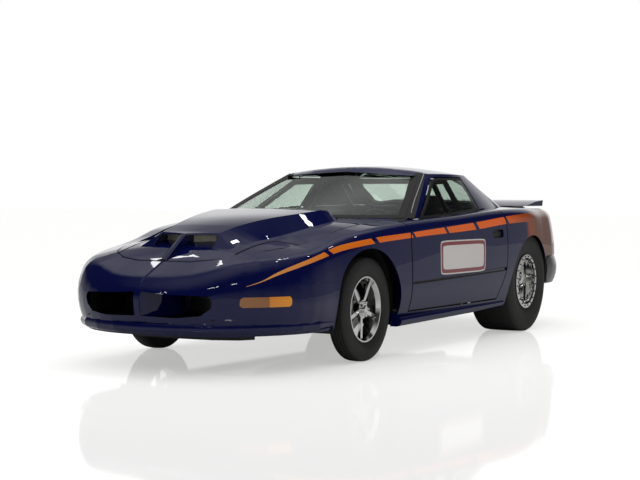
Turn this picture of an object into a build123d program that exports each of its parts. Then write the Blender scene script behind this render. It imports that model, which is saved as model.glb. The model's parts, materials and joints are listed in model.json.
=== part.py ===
# Drag racing car as an assembly of separate, moving sub-parts.
# Frame: +X forward, +Y the car's left, +Z up, millimetres, origin under the middle on the ground.
import math
import os
from collections import namedtuple

from build123d import *

os.makedirs("parts", exist_ok=True)

# Driving dimensions
WHEELBASE = 2568.0
FRONT_OVERHANG = 1331.0
REAR_OVERHANG = 1081.0
BODY_WIDTH = 1892.0
PANEL = 6.0
SEAM = 0.7
DOOR_GAP = 9.0
DOOR_INNER_Y = 768.0
FRONT_TYRE_R = 330.0
FRONT_TYRE_Y = 770.0
FRONT_TYRE_HALF = 65.0
REAR_TYRE_R = 389.0
REAR_TYRE_Y = 728.0
REAR_TYRE_HALF = 172.0
RIM_LIP_R = 208.0
BEAD_R = 200.0
FRONT_ARCH_R = 385.0
REAR_ARCH_R = 415.0
ARCH_Z = 330.0
KINGPIN_Y = 655.0
TUBE_R = 20.5

length = WHEELBASE + FRONT_OVERHANG + REAR_OVERHANG
front_x = length / 2 - FRONT_OVERHANG
rear_x = front_x - WHEELBASE
mid_x = (front_x + rear_x) / 2
wide = BODY_WIDTH / 1892.0
nose_x = front_x + 416.0
tail_x = rear_x - 416.0
door_front_x = front_x - 527.0
door_rear_x = rear_x + 519.0
door_bottom_z = 290.0

# Skin sections: distance out from the centre line (or from a fan's axis) and height of five points
Row = namedtuple("Row", "ledge crest shoulder waist sill")
AT_FRONT = Row((585, 842), (760, 824), (846, 742), (866, 462), (815, 230))
AT_DOOR_FRONT = Row((640, 888), (800, 872), (876, 795), (890, 478), (838, 232))
AT_MIDDLE = Row((700, 915), (832, 906), (906, 832), (914, 496), (856, 234))
AT_DOOR_REAR = Row((690, 952), (842, 944), (922, 872), (934, 516), (868, 238))
AT_REAR = Row((640, 960), (830, 952), (922, 872), (936, 540), (880, 260))
NOSE_FAN = {
    90: Row((540, 757), (700, 740), (795, 655), (822, 450), (785, 225)),
    65: Row((555, 735), (745, 690), (838, 605), (870, 445), (812, 225)),
    40: Row((570, 722), (790, 655), (882, 575), (910, 435), (845, 225)),
    20: Row((560, 700), (800, 590), (893, 515), (920, 430), (850, 225)),
    0: Row((560, 690), (800, 575), (888, 510), (915, 430), (840, 225)),
}
TAIL_FAN = {
    90: Row((600, 955), (775, 946), (875, 864), (905, 562), (862, 340)),
    105: Row((600, 955), (768, 946), (866, 864), (900, 575), (868, 350)),
    118: Row((590, 955), (758, 946), (852, 862), (892, 580), (878, 352)),
    130: Row((570, 955), (742, 946), (838, 860), (888, 580), (884, 352)),
    142: Row((500, 955), (660, 946), (745, 860), (788, 580), (790, 352)),
    160: Row((380, 955), (545, 946), (630, 860), (668, 580), (672, 352)),
    180: Row((340, 955), (505, 946), (588, 860), (622, 580), (626, 352)),
}
# Hood: height at the centre line and 550 mm out, at distances ahead of the front axle
HOOD_ROWS = [
    (1140, 612, 540),
    (1026, 667, 640),
    (853, 735, 690),
    (651, 778, 728),
    (416, 810, 752),
    (0, 878, 846),
    (-527, 918, 896),
    (-709, 930, 910),
]
# Scoop on the hood: distance ahead of the front axle, half width at the foot and at the crest, crest height
SCOOP_ROWS = [
    (941, 318, 185, 775),
    (871, 341, 195, 795),
    (771, 366, 206, 813),
    (591, 380, 234, 856),
    (341, 410, 290, 898),
    (41, 478, 366, 931),
    (-209, 480, 405, 950),
    (-320, 450, 385, 930),
]
SCOOP_CROWN = 8.0
# Hood outline in plan: distance ahead of the front axle and half width, stepping out behind the headlamp lids
HOOD_OUTLINE = [
    (1056, 0),
    (1046, 180),
    (1008, 318),
    (945, 408),
    (480, 428),
    (434, 604),
    (-30, 646),
    (-414, 668),
    (-500, 664),
    (-330, 330),
    (-285, 0),
]
# Front lip: distance out from the nose fan's axis
LIP_FAN = {90: 806, 65: 850, 40: 893, 20: 905, 0: 903}


def turn_points(start, heading, end, count):
    """Points on the arc that leaves start along heading and ends at end, and the heading there."""
    bend = math.atan2(end[1] - start[1], end[0] - start[0]) - heading
    span = math.hypot(end[0] - start[0], end[1] - start[1])
    points = []
    for k in range(1, count + 1):
        u = k / count
        reach = span * u if abs(bend) < 1e-6 else span * math.sin(bend * u) / math.sin(bend)
        points.append((start[0] + reach * math.cos(heading + bend * u), start[1] + reach * math.sin(heading + bend * u)))
    return points, heading + 2 * bend


def skin_points(row):
    """Outer skin from the ledge beside the hood or glass down to the sill: ends and middles of its arcs."""
    heading = math.atan2(row.crest[1] - row.ledge[1], row.crest[0] - row.ledge[0])
    points = [row.ledge, row.crest]
    for start, end in ((row.crest, row.shoulder), (row.shoulder, row.waist), (row.waist, row.sill)):
        arc, heading = turn_points(start, heading, end, 2)
        points += arc
    return [(y * wide, z) for y, z in points]


def inset_points(points, wall):
    """The same points moved inwards by the wall thickness."""
    moved = []
    last = len(points) - 1
    for i, point in enumerate(points):
        a = points[max(i - 1, 0)]
        b = points[min(i + 1, last)]
        size = math.hypot(b[0] - a[0], b[1] - a[1])
        moved.append((point[0] + wall * (b[1] - a[1]) / size, point[1] - wall * (b[0] - a[0]) / size))
    return moved


def ease(knots, values, u):
    """Smooth curve through values at knots, read at u."""
    i = 0
    while i < len(knots) - 2 and u > knots[i + 1]:
        i += 1

    def slope(k):
        lo = max(k - 1, 0)
        hi = min(k + 1, len(knots) - 1)
        return (values[hi] - values[lo]) / (knots[hi] - knots[lo])

    h = knots[i + 1] - knots[i]
    t = (u - knots[i]) / h
    a = values[i] * (1 + 2 * t) * (1 - t) ** 2 + slope(i) * h * t * (1 - t) ** 2
    b = values[i + 1] * t * t * (3 - 2 * t) + slope(i + 1) * h * t * t * (t - 1)
    return a + b


def ease_row(knots, rows, u):
    return Row(*((ease(knots, [r[k][0] for r in rows], u), ease(knots, [r[k][1] for r in rows], u)) for k in range(5)))


def fan_plane(x, degrees):
    angle = math.radians(degrees)
    out = (math.cos(angle), math.sin(angle), 0)
    return Plane(origin=(x, 0, 0), x_dir=out, z_dir=(out[1], -out[0], 0))


def between(stops, pitch):
    """Stops (x, degrees, row) filled in smoothly so that none is further than pitch from the next."""
    knots = [0.0]
    for (x0, a0, _), (x1, a1, _) in zip(stops, stops[1:]):
        knots.append(knots[-1] + abs(x1 - x0) + 850 * math.radians(abs(a1 - a0)))
    rows = [row for _, _, row in stops]
    filled = []
    for i in range(len(stops) - 1):
        count = math.ceil((knots[i + 1] - knots[i]) / pitch)
        for k in range(count):
            u = k / count
            x = stops[i][0] + (stops[i + 1][0] - stops[i][0]) * u
            a = stops[i][1] + (stops[i + 1][1] - stops[i][1]) * u
            filled.append((x, a, ease_row(knots, rows, knots[i] + (knots[i + 1] - knots[i]) * u)))
    return filled + [stops[-1]]


def skin_section(row, plane, wall):
    outer = skin_points(row)
    inner = inset_points(outer, wall)
    with BuildSketch(plane) as section:
        with BuildLine():
            for p in (outer, inner):
                Line(p[0], p[1])
                ThreePointArc(p[1], p[2], p[3])
                ThreePointArc(p[3], p[4], p[5])
                ThreePointArc(p[5], p[6], p[7])
            Line(outer[0], inner[0])
            Line(outer[7], inner[7])
        make_face()
    return section.sketch


def ring(stops, wall, pitch):
    """A thin skin along the left side, round one end of the car and back along the right."""
    last = stops[-1][1]
    back = [(x, 2 * last - a, row) for x, a, row in reversed(stops[:-1])]
    sections = [skin_section(row, fan_plane(x, a), wall) for x, a, row in between(stops + back, pitch)]
    with BuildPart() as skin:
        loft(sections=sections, ruled=True)
    return skin.part


def solid_section(row, x, inner_y):
    """Section of a thick wall: the outer skin closed by a flat inner face."""
    p = skin_points(row)
    slope = (p[0][1] - p[1][1]) / (p[0][0] - p[1][0])
    top = (inner_y, p[1][1] + slope * (inner_y - p[1][0]))
    foot = (inner_y, p[7][1])
    with BuildSketch(fan_plane(x, 90)) as section:
        with BuildLine():
            ThreePointArc(p[1], p[2], p[3])
            ThreePointArc(p[3], p[4], p[5])
            ThreePointArc(p[5], p[6], p[7])
            Polyline(p[1], top, foot, p[7])
        make_face()
    return section.sketch


def belt_section(row, x, inner_y, grow):
    """Section of everything under the shoulder and ledge, down to a level foot, raised by grow."""
    p = [(y, z + grow) for y, z in skin_points(row)]
    slope = (p[0][1] - p[1][1]) / (p[0][0] - p[1][0])
    top = (inner_y, p[1][1] + slope * (inner_y - p[1][0]))
    with BuildSketch(fan_plane(x, 90)) as section:
        with BuildLine():
            ThreePointArc(p[1], p[2], p[3])
            Polyline(p[1], top, (inner_y, 600), (p[3][0] + 40, 600), p[3])
        make_face()
    return section.sketch


def prism(plane, points, amount, grow=0.0, radius=0.0):
    """A closed outline on a plane, rounded, grown and carried by amount."""
    with BuildPart() as body:
        with BuildSketch(plane) as outline:
            with BuildLine():
                Polyline(*points, close=True)
            make_face()
            if radius:
                fillet(outline.vertices(), radius)
            if grow:
                offset(amount=grow, kind=Kind.INTERSECTION)
        extrude(amount=amount)
    return body.part


def side_prism(points, y0, y1, grow=0.0, radius=0.0):
    return prism(Plane.XZ.offset(-y0), points, -(y1 - y0), grow, radius)


def plan_prism(points, z0, z1, grow=0.0, radius=0.0):
    return prism(Plane.XY.offset(z0), points, z1 - z0, grow, radius)


def front_prism(points, x0, x1, grow=0.0, radius=0.0):
    return prism(Plane.YZ.offset(x0), points, x1 - x0, grow, radius)


def block(x0, x1, y0, y1, z0, z1):
    with BuildPart() as body:
        with Locations(((x0 + x1) / 2, (y0 + y1) / 2, (z0 + z1) / 2)):
            Box(x1 - x0, y1 - y0, z1 - z0)
    return body.part


def rod(a, b, radius):
    """A round bar from a to b."""
    axis = Vector(*b) - Vector(*a)
    with BuildPart() as body:
        with BuildSketch(Plane(origin=a, z_dir=axis)):
            Circle(radius)
        extrude(amount=axis.length)
    return body.part


def disc(x, y0, y1, z, radius):
    return rod((x, y0, z), (x, y1, z), radius)


def both(left):
    return left + mirror(left, about=Plane.XZ)


def ridge_loft(stations, half, depth):
    """A ridge on the centre line through (x, crest height) stations, half wide at its shoulders."""
    sections = []
    for x, crest in stations:
        with BuildSketch(fan_plane(x, 90)) as section:
            with BuildLine():
                Polyline((-half, crest - depth), (half, crest - depth), (half, crest - 10), (0, crest), (-half, crest - 10), close=True)
            make_face()
        sections.append(section.sketch)
    with BuildPart() as ridge:
        loft(sections=sections, ruled=True)
    return ridge.part


def both_sides(points):
    return points + [(x, -y) for x, y in reversed(points) if y]


def keep(name, part):
    """Name a sub-part and write its STEP file."""
    part.label = name
    export_step(part, f"parts/{name}.step")


def keep_pair(name, left):
    keep(f"{name}_left", left)
    keep(f"{name}_right", mirror(left, about=Plane.XZ))


# Master skins
SIDE = [
    (front_x, 90, AT_FRONT),
    (door_front_x, 90, AT_DOOR_FRONT),
    (mid_x, 90, AT_MIDDLE),
    (door_rear_x, 90, AT_DOOR_REAR),
    (rear_x, 90, AT_REAR),
]
front_stops = SIDE[2::-1] + [(nose_x, a, row) for a, row in NOSE_FAN.items()]
rear_stops = SIDE[2:] + [(tail_x, a, row) for a, row in TAIL_FAN.items()]
front_ring = ring(front_stops, PANEL, 130)
rear_ring = ring(rear_stops, PANEL, 130)


def hood_loft(top, bottom):
    """The hood's crowned surface, moved up by top and down to bottom."""
    dx = [r[0] for r in HOOD_ROWS]
    sections = []
    count = 14
    for k in range(count + 1):
        d = dx[0] + (dx[-1] - dx[0]) * k / count
        mid = ease([-v for v in dx], [r[1] for r in HOOD_ROWS], -d)
        side = ease([-v for v in dx], [r[2] for r in HOOD_ROWS], -d)
        edge = mid - (mid - side) * (720 / 550) ** 2
        with BuildSketch(fan_plane(front_x + d, 90)) as section:
            with BuildLine():
                ThreePointArc((-720, edge + top), (0, mid + top), (720, edge + top))
                ThreePointArc((-720, edge + bottom), (0, mid + bottom), (720, edge + bottom))
                Line((-720, edge + top), (-720, edge + bottom))
                Line((720, edge + top), (720, edge + bottom))
            make_face()
        sections.append(section.sketch)
    with BuildPart() as skin:
        loft(sections=sections, ruled=True)
    return skin.part


def scoop_loft(inset, foot_drop):
    """The scoop's bulge, made smaller by inset, with its foot foot_drop under the hood's surface."""
    dx = [r[0] for r in SCOOP_ROWS]
    knots = [-v for v in dx]
    hood_knots = [-r[0] for r in HOOD_ROWS]
    sections = []
    count = 15
    for k in range(count + 1):
        d = dx[0] + (dx[-1] - dx[0]) * k / count
        foot = ease(knots, [r[1] for r in SCOOP_ROWS], -d) - inset
        top = ease(knots, [r[2] for r in SCOOP_ROWS], -d) - inset
        high = ease(knots, [r[3] for r in SCOOP_ROWS], -d) - inset
        mid = ease(hood_knots, [r[1] for r in HOOD_ROWS], -d)
        side = ease(hood_knots, [r[2] for r in HOOD_ROWS], -d)
        low = mid - (mid - side) * (foot / 550) ** 2 - foot_drop
        with BuildSketch(fan_plane(front_x + d, 90)) as section:
            with BuildLine():
                Polyline((-top, high), (-foot, low), (foot, low), (top, high))
                ThreePointArc((-top, high), (0, high + SCOOP_CROWN), (top, high))
            make_face()
        sections.append(section.sketch)
    with BuildPart() as bulge:
        loft(sections=sections, ruled=True)
    return bulge.part


# Greenhouse outlines: corner points at the base and at the roof rail (x, y)
BASE_Z = 851.0
RAIL_Z = 1205.0
HOUSE = {
    "pillar": ((475, 806), (-245, 560)),
    "front": ((835, 0), (-105, 0)),
    "side": ((-475, 832), (-575, 590)),
    "rear": ((-1425, 722), (-925, 555)),
    "turn": ((-1790, 630), (-968, 508)),
    "corner": ((-1985, 430), (-990, 430)),
    "back": ((-2030, 0), (-1000, 0)),
}
HOUSE_INSET = {
    "pillar": (-1.7, -1.25),
    "front": (-2.2, 0),
    "side": (0, -1.25),
    "rear": (0.4, -1.25),
    "turn": (1.5, -1.0),
    "corner": (3.0, -0.6),
    "back": (3.0, 0),
}
# Roof crown: x, height 560 mm out, height on the centre line
ROOF_ROWS = [(260, 1140, 1175), (-60, 1190, 1234), (-400, 1208, 1262), (-700, 1208, 1265), (-1000, 1192, 1243), (-1400, 1135, 1180)]


def house_section(z, inset):
    t = (z - BASE_Z) / (RAIL_Z - BASE_Z)
    belly = 4 * 16 * t * (1 - t)
    p = {}
    for name, (base, rail) in HOUSE.items():
        sx, sy = HOUSE_INSET[name]
        x = base[0] + (rail[0] - base[0]) * t + sx * inset
        y = base[1] + (rail[1] - base[1]) * t + sy * inset
        if name in ("side", "pillar", "rear"):
            y += belly
        if name in ("front", "pillar"):
            x += belly
        p[name] = (x, y)
    right = {name: (x, -y) for name, (x, y) in p.items()}
    with BuildSketch(Plane.XY.offset(z)) as section:
        with BuildLine():
            ThreePointArc(right["pillar"], p["front"], p["pillar"])
            for s in (p, right):
                ThreePointArc(s["pillar"], s["side"], s["rear"])
                ThreePointArc(s["rear"], s["turn"], s["corner"])
            ThreePointArc(p["corner"], p["back"], right["corner"])
        make_face()
    return section.sketch


def greenhouse(inset):
    """The closed form of windshield, side glass, roof and hatch glass, made smaller by inset."""
    walls = [house_section(z, inset) for z in (BASE_Z, 1030.0, RAIL_Z, 1300.0)]
    roofs = []
    knots = [-r[0] for r in ROOF_ROWS]
    for k in range(15):
        x = ROOF_ROWS[0][0] + (ROOF_ROWS[-1][0] - ROOF_ROWS[0][0]) * k / 14
        side = ease(knots, [r[1] for r in ROOF_ROWS], -x)
        mid = ease(knots, [r[2] for r in ROOF_ROWS], -x)
        edge = mid - (mid - side) * (900 / 560) ** 2
        with BuildSketch(fan_plane(x, 90)) as section:
            with BuildLine():
                ThreePointArc((-900, edge - inset), (0, mid - inset), (900, edge - inset))
                Polyline((-900, edge - inset), (-900, 700), (900, 700), (900, edge - inset))
            make_face()
        roofs.append(section.sketch)
    with BuildPart() as crown:
        loft(sections=roofs, ruled=True)
    with BuildPart() as house:
        loft(sections=walls)
    low = house.part & block(-2600, 1200, -1000, 1000, 800, 1100)
    high = house.part & block(-2600, 1200, -1000, 1000, 1100, 1400) & crown.part
    return low + high


# Shared cutters
hood_plan = both_sides([(front_x + d, y) for d, y in HOOD_OUTLINE])
hood_cut = plan_prism(hood_plan, 500, 1100)
hood_hole = plan_prism(hood_plan, 500, 1100, grow=DOOR_GAP)
front_arches = both(disc(front_x, 450, 1200, ARCH_Z, FRONT_ARCH_R))
rear_arches = both(disc(rear_x, 450, 1200, ARCH_Z, REAR_ARCH_R))
sill_top_z = door_bottom_z - DOOR_GAP
fender_side = [
    (door_front_x + DOOR_GAP, sill_top_z + SEAM),
    (front_x, sill_top_z + SEAM),
    (front_x, 520),
    (front_x + 771, 520),
    (front_x + 850, 610),
    (front_x + 950, 655),
    (front_x + 950, 1100),
    (door_front_x + DOOR_GAP, 1100),
]

# Headlamp lids, set in the fenders beside the hood
lid_plan = [(front_x + d, y) for d, y in ((938, 395), (470, 405), (432, 600), (700, 548), (905, 455))]
lid_seat = both(plan_prism(lid_plan, 550, 900, grow=SEAM))
keep("headlamp_lids", both((hood_loft(0, -14) & plan_prism(lid_plan, 550, 900)) - hood_hole))

# Fenders
fender_left = front_ring & side_prism(fender_side, 0, 1200) - front_arches - hood_hole - lid_seat
keep_pair("fender", fender_left)

# Nose with two intakes, a wedge between them, a lip below and lamp seats
intake = [(20, 342), (250, 336), (385, 350), (440, 392), (452, 432), (432, 464), (160, 474), (20, 484)]
intakes = both(front_prism(intake, 2000, 2700, radius=12))
wedge_plan = both_sides([(2486, 0), (2484, 14), (2240, 150), (2140, 150), (2140, 0)])
wedge_side = [(2140, 336), (2482, 336), (2488, 430), (2470, 484), (2140, 484)]
wedge = plan_prism(wedge_plan, 300, 600) & side_prism(wedge_side, -200, 200)
sections = []
for k in range(-8, 9):
    a = 90 * k / 8
    r = ease([90 - v for v in LIP_FAN], list(LIP_FAN.values()), 90 - abs(a))
    with BuildSketch(fan_plane(nose_x, a)) as section:
        with BuildLine():
            Polyline((r - 10, 299), (r - 62, 302), (r - 62, 238), (r - 22, 240))
            ThreePointArc((r - 22, 240), (r, 270), (r - 10, 299))
        make_face()
    sections.append(section.sketch)
with BuildPart() as lip:
    loft(sections=sections, ruled=True)
nose_ridge = ridge_loft([(2226, 655), (2375, 582), (2430, 555), (2462, 514)], 12, 20)
marker_side = [(front_x + 841, 398), (front_x + 1118, 398), (front_x + 1118, 458), (front_x + 841, 458)]
marker_seat = side_prism(marker_side, 480, 1100, grow=SEAM, radius=20)
nose = front_ring & block(front_x, 2600, -1200, 1200, 0, 1200)
nose = nose - both(side_prism(fender_side, 0, 1200, grow=SEAM)) - front_arches - hood_hole - lid_seat
keep("marker_lamps", both(nose & side_prism(marker_side, 480, 1100, radius=20)))
nose = nose - both(marker_seat) - intakes + wedge + lip.part + nose_ridge
keep("nose_cover", nose)

# Hood with its twin-mouth scoop: a raked open face on each side of a ridge, and a pocket behind it
LIP_X = 2000.0
MOUTH_SWEEP = 17.0
MOUTH_IN = 20.0
MOUTH_OUT = 215.0


def swept(points):
    """A left-hand slab through an outline of (distance from the lip, height), swept back like the mouths."""
    slab = Pos(LIP_X, 0, 0) * Rot(0, 0, MOUTH_SWEEP) * side_prism(points, -200, 900)
    return slab & block(1000, 3000, 0, 1000, 0, 1500)


def swept_box(x0, x1):
    return swept([(x0, 500), (x1, 500), (x1, 1100), (x0, 1100)])


mouth_face = both(swept([(-100, 893), (160, 656), (700, 656), (700, 893)]))
under_hood = hood_loft(0, -300)
pocket = scoop_loft(10, 40) & swept_box(-150, 600) & block(1000, 3000, MOUTH_IN, MOUTH_OUT, 0, 1500)
pocket = both(pocket - under_hood)
hollow = scoop_loft(13, 70) & block(0, 1775, -1000, 1000, 0, 1500)
spine = ridge_loft([(1880, 816), (2012, 808), (2120, 732), (2213, 662)], MOUTH_IN, 200)
hood = hood_loft(0, -22) + (scoop_loft(0, 12) - mouth_face - pocket) + spine - hollow
keep("hood", (hood & hood_cut) - hood_loft(-22, -400))
screen = scoop_loft(10 + SEAM, 40) & swept_box(-78, -72)
screen = screen & block(1000, 3000, MOUTH_IN + SEAM, MOUTH_OUT - SEAM, 0, 1500)
keep("scoop_screens", both(screen - hood_loft(SEAM, -300)))

# Doors: thick walls with a latch slot, under frameless glass
side_stops = [stop for stop in between(SIDE, 150) if stop[0] < front_x - 200]
with BuildPart() as side_wall:
    loft(sections=[solid_section(row, x, DOOR_INNER_Y) for x, a, row in side_stops], ruled=True)
DOOR_KNEE_Z = 490.0
DOOR_CUTBACK = 90.0
door_side = [
    (door_front_x, door_bottom_z),
    (door_front_x, 1100),
    (door_rear_x, 1100),
    (door_rear_x, DOOR_KNEE_Z),
    (door_rear_x + DOOR_CUTBACK, door_bottom_z),
]
handle_side = [
    (door_rear_x + 70, 742),
    (door_rear_x + 250, 742),
    (door_rear_x + 250, 800),
    (door_rear_x + 70, 800),
]
groove_side = [
    (door_front_x + 1, 466),
    (door_rear_x - 1, 497),
    (door_rear_x - 1, 521),
    (door_front_x + 1, 473),
]
HANDLE_DEPTH = 22.0
GROOVE_DEPTH = 11.0
handle_seat = side_prism(handle_side, 600, 1100, radius=20) - Pos(0, -HANDLE_DEPTH, 0) * side_wall.part
groove = side_prism(groove_side, 600, 1100) - Pos(0, -GROOVE_DEPTH, 0) * side_wall.part
LATCH_Z = 600.0
latch_slot = block(door_rear_x - 1, door_rear_x + 45, 700, 815, LATCH_Z - 6.6, LATCH_Z + 6.6)
door_left = side_wall.part & side_prism(door_side, 600, 1200) - latch_slot - handle_seat - groove
keep_pair("door", door_left)

# Sills between the arches, with jacking pads under them
sill_left = side_wall.part & block(rear_x + 405, front_x - 330, 700, 1000, 0, sill_top_z) - front_arches - rear_arches
pad_xs = (door_front_x - 180, door_rear_x + 260)
for x in pad_xs:
    sill_left = sill_left + block(x - 70, x + 70, 785, 840, 222, 245)
striker = rod((door_rear_x - 60, 800, LATCH_Z), (door_rear_x + 36, 800, LATCH_Z), 6)
lock_post = block(door_rear_x - 70, door_rear_x - 58, DOOR_INNER_Y + 2, 855, 250, 860)
keep("sills", both(sill_left + lock_post + striker))

# Rear skin: quarters and the tail above the bumper
BUMPER_TOP_Z = 575.0
rear_ring = rear_ring - rear_arches
quarter_side = [
    (door_rear_x + DOOR_CUTBACK - DOOR_GAP + 3, sill_top_z + SEAM),
    (door_rear_x - DOOR_GAP, DOOR_KNEE_Z - 1),
    (door_rear_x - DOOR_GAP, 1200),
    (tail_x - 160, 1200),
    (tail_x - 160, BUMPER_TOP_Z),
    (tail_x, BUMPER_TOP_Z),
    (tail_x + 60, BUMPER_TOP_Z),
    (tail_x + 60, 320),
    (rear_x + 300, sill_top_z + SEAM),
]
deck_plan = both_sides([(-1600, 0), (-1600, 575), (-2150, 575), (-2255, 490), (-2290, 0)])
deck_hole = plan_prism(deck_plan, 700, 1300, grow=DOOR_GAP)
quarter_left = rear_ring & side_prism(quarter_side, 0, 1200) - deck_hole
keep_pair("quarter", quarter_left)
tail = rear_ring & block(-2600, tail_x + 59, -1200, 1200, BUMPER_TOP_Z, 1200)
tail = tail - both(side_prism(quarter_side, 0, 1200, grow=SEAM)) - deck_hole
lamp_face = [(150, 660), (700, 660), (700, 790), (150, 800)]
lamp_cut = front_prism(lamp_face, -2600, -2300)
keep("tail_lamps", both(tail & lamp_cut))
tail = tail - both(front_prism(lamp_face, -2600, -2300, grow=SEAM))
keep("tail_cover", tail)

# Rear bumper: a bulging band round the tail
BUMPER_FAN = {90: 900, 105: 908, 118: 920, 130: 924, 142: 828, 160: 706, 180: 660}
bumper_lip_z = BUMPER_TOP_Z - SEAM
bumper_sections = []
fan_angles = list(BUMPER_FAN)
for k in range(13):
    a = 90 + 90 * k / 12
    r = ease(fan_angles, list(BUMPER_FAN.values()), a)
    bumper_sections.append((a, r))
bumper_sections += [(360 - a, r) for a, r in reversed(bumper_sections[:-1])]
sections = []
for a, r in bumper_sections:
    with BuildSketch(fan_plane(tail_x, a)) as section:
        with BuildLine():
            ThreePointArc((r - 26, bumper_lip_z), (r, 470), (r - 30, 350))
            ThreePointArc((r - 34, bumper_lip_z), (r - 8, 470), (r - 38, 350))
            Line((r - 26, bumper_lip_z), (r - 34, bumper_lip_z))
            Line((r - 30, 350), (r - 38, 350))
        make_face()
    sections.append(section.sketch)
with BuildPart() as bumper:
    loft(sections=sections, ruled=True)
keep("rear_bumper", bumper.part - rear_arches)

# Greenhouse shell, glass and hatch
house_outer = greenhouse(0)
house_inner = greenhouse(30)
glass_inner = greenhouse(5)
shell = house_outer - house_inner
glass_shell = house_outer - glass_inner
with BuildPart() as door_belt:
    loft(sections=[belt_section(row, x, 745, DOOR_GAP) for x, a, row in side_stops], ruled=True)
with BuildPart() as rear_belt:
    loft(sections=[belt_section(row, x, 300, SEAM) for x, a, row in between(rear_stops, 130) if a < 91], ruled=True)
with BuildPart() as glass_belt:
    loft(sections=[belt_section(row, x, 745, SEAM) for x, a, row in side_stops], ruled=True)
screen_face = [(735, 893), (645, 1040), (535, 1186), (0, 1216), (-535, 1186), (-645, 1040), (-735, 893), (0, 893)]
side_window = [(425, 800), (398, 872), (-222, 1164), (-330, 1182), (-780, 1186), (-762, 800)]
hatch_plan = both_sides([(-925, 0), (-925, 455), (-1250, 545), (-1620, 585), (-2200, 585)])
hatch_prism = plan_prism(hatch_plan, 956.6, 1400)
hatch_hole = plan_prism(hatch_plan, 700, 1400, grow=DOOR_GAP)
screen_hole = front_prism(screen_face, -330, 1000)
cabin = shell - screen_hole - both(side_prism(side_window, 400, 1000)) - hatch_hole
cabin = cabin - both(door_belt.part & block(door_rear_x - DOOR_GAP, 1200, 0, 1200, 0, 1300))
cabin = cabin - both(rear_belt.part & block(-2600, door_rear_x - DOOR_GAP, 0, 1200, 0, 1300))
cabin = cabin - block(-2600, tail_x + 10, -1200, 1200, 0, 1300)
keep("cabin_frame", cabin)
windshield = glass_shell & front_prism(screen_face, -330, 1000, grow=-SEAM)
keep("windshield", windshield)
door_glass = glass_shell & side_prism(side_window, 400, 1000, grow=-DOOR_GAP) - glass_belt.part
keep_pair("door_glass", door_glass)
hatch_shell = shell & hatch_prism
hatch_window = [(-985, 0), (-985, 400), (-1250, 485), (-1560, 520), (-1600, 480), (-1600, 0)]
hatch_window = both_sides(hatch_window)
keep("hatch_frame", hatch_shell - plan_prism(hatch_window, 900, 1400))
keep("hatch_glass", glass_shell & hatch_prism & plan_prism(hatch_window, 900, 1400, grow=-SEAM))
pedestal = side_prism([(-1990, 955), (-2230, 955), (-2240, 972), (-2050, 972)], -530, 530)
blade = side_prism([(-1985, 964), (-2352, 964), (-2366, 1012), (-2190, 1000)], -650, 650)
keep("deck_lid", plan_prism(deck_plan, 944, 956) + pedestal + blade)

# Cabin floor with its tunnel, firewall with the door posts, cowl
TUNNEL_HALF = 150.0
TUNNEL_Z = 448.0
FLOOR_Z = 228.0
SHEET = 8.0
firewall_x = door_front_x - 72.0
rear_wall_x = rear_x + 455.0
floor_edge = DOOR_INNER_Y - 0.5
floor = block(rear_wall_x, firewall_x, -floor_edge, floor_edge, FLOOR_Z, FLOOR_Z + SHEET)
floor = floor + block(rear_wall_x, firewall_x, -TUNNEL_HALF, TUNNEL_HALF, FLOOR_Z, TUNNEL_Z)
floor = floor - block(-2600, 1200, SHEET - TUNNEL_HALF, TUNNEL_HALF - SHEET, 0, TUNNEL_Z - SHEET)
keep("floor_pan", floor)
firewall = block(firewall_x + 0.5, firewall_x + SHEET, -690, 690, FLOOR_Z, 841)
firewall = firewall - block(0, 1200, -TUNNEL_HALF - 5, TUNNEL_HALF + 5, 0, TUNNEL_Z + 5)
post = block(firewall_x + 0.5, door_front_x + 5, 680, 745, sill_top_z + 0.6, 841)
keep("firewall", firewall + both(post))
cowl_plan = both_sides([(430, 0), (430, 740), (560, 740), (640, 650), (800, 330), (850, 0)])
keep("cowl_panel", plan_prism(cowl_plan, 841.6, 850.4))

# Rear floor, stops for the deck lid, wheel tubs
rear_floor = block(-2240, rear_wall_x - 0.5, -539, 539, 520, 528)
rear_wall = block(rear_wall_x - SHEET, rear_wall_x - 0.5, -539, 539, FLOOR_Z, 528)
rear_wall = rear_wall - block(-2600, 0, -TUNNEL_HALF - 5, TUNNEL_HALF + 5, 0, TUNNEL_Z + 12)
stop_post = block(-2120, -2080, 400, 440, 520, 943.4)
keep("rear_floor", rear_floor + rear_wall + both(stop_post))
TUB_R = 448.0
tub = disc(rear_x, 539.6, 900, REAR_TYRE_R, TUB_R) - disc(rear_x, 545, 1000, REAR_TYRE_R, TUB_R - 5)
tub = tub & block(tail_x + 6, 0, 0, 1000, 400, 1000) - disc(rear_x, 500, 600, REAR_TYRE_R, 75)
keep("wheel_tubs", both(tub))

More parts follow.
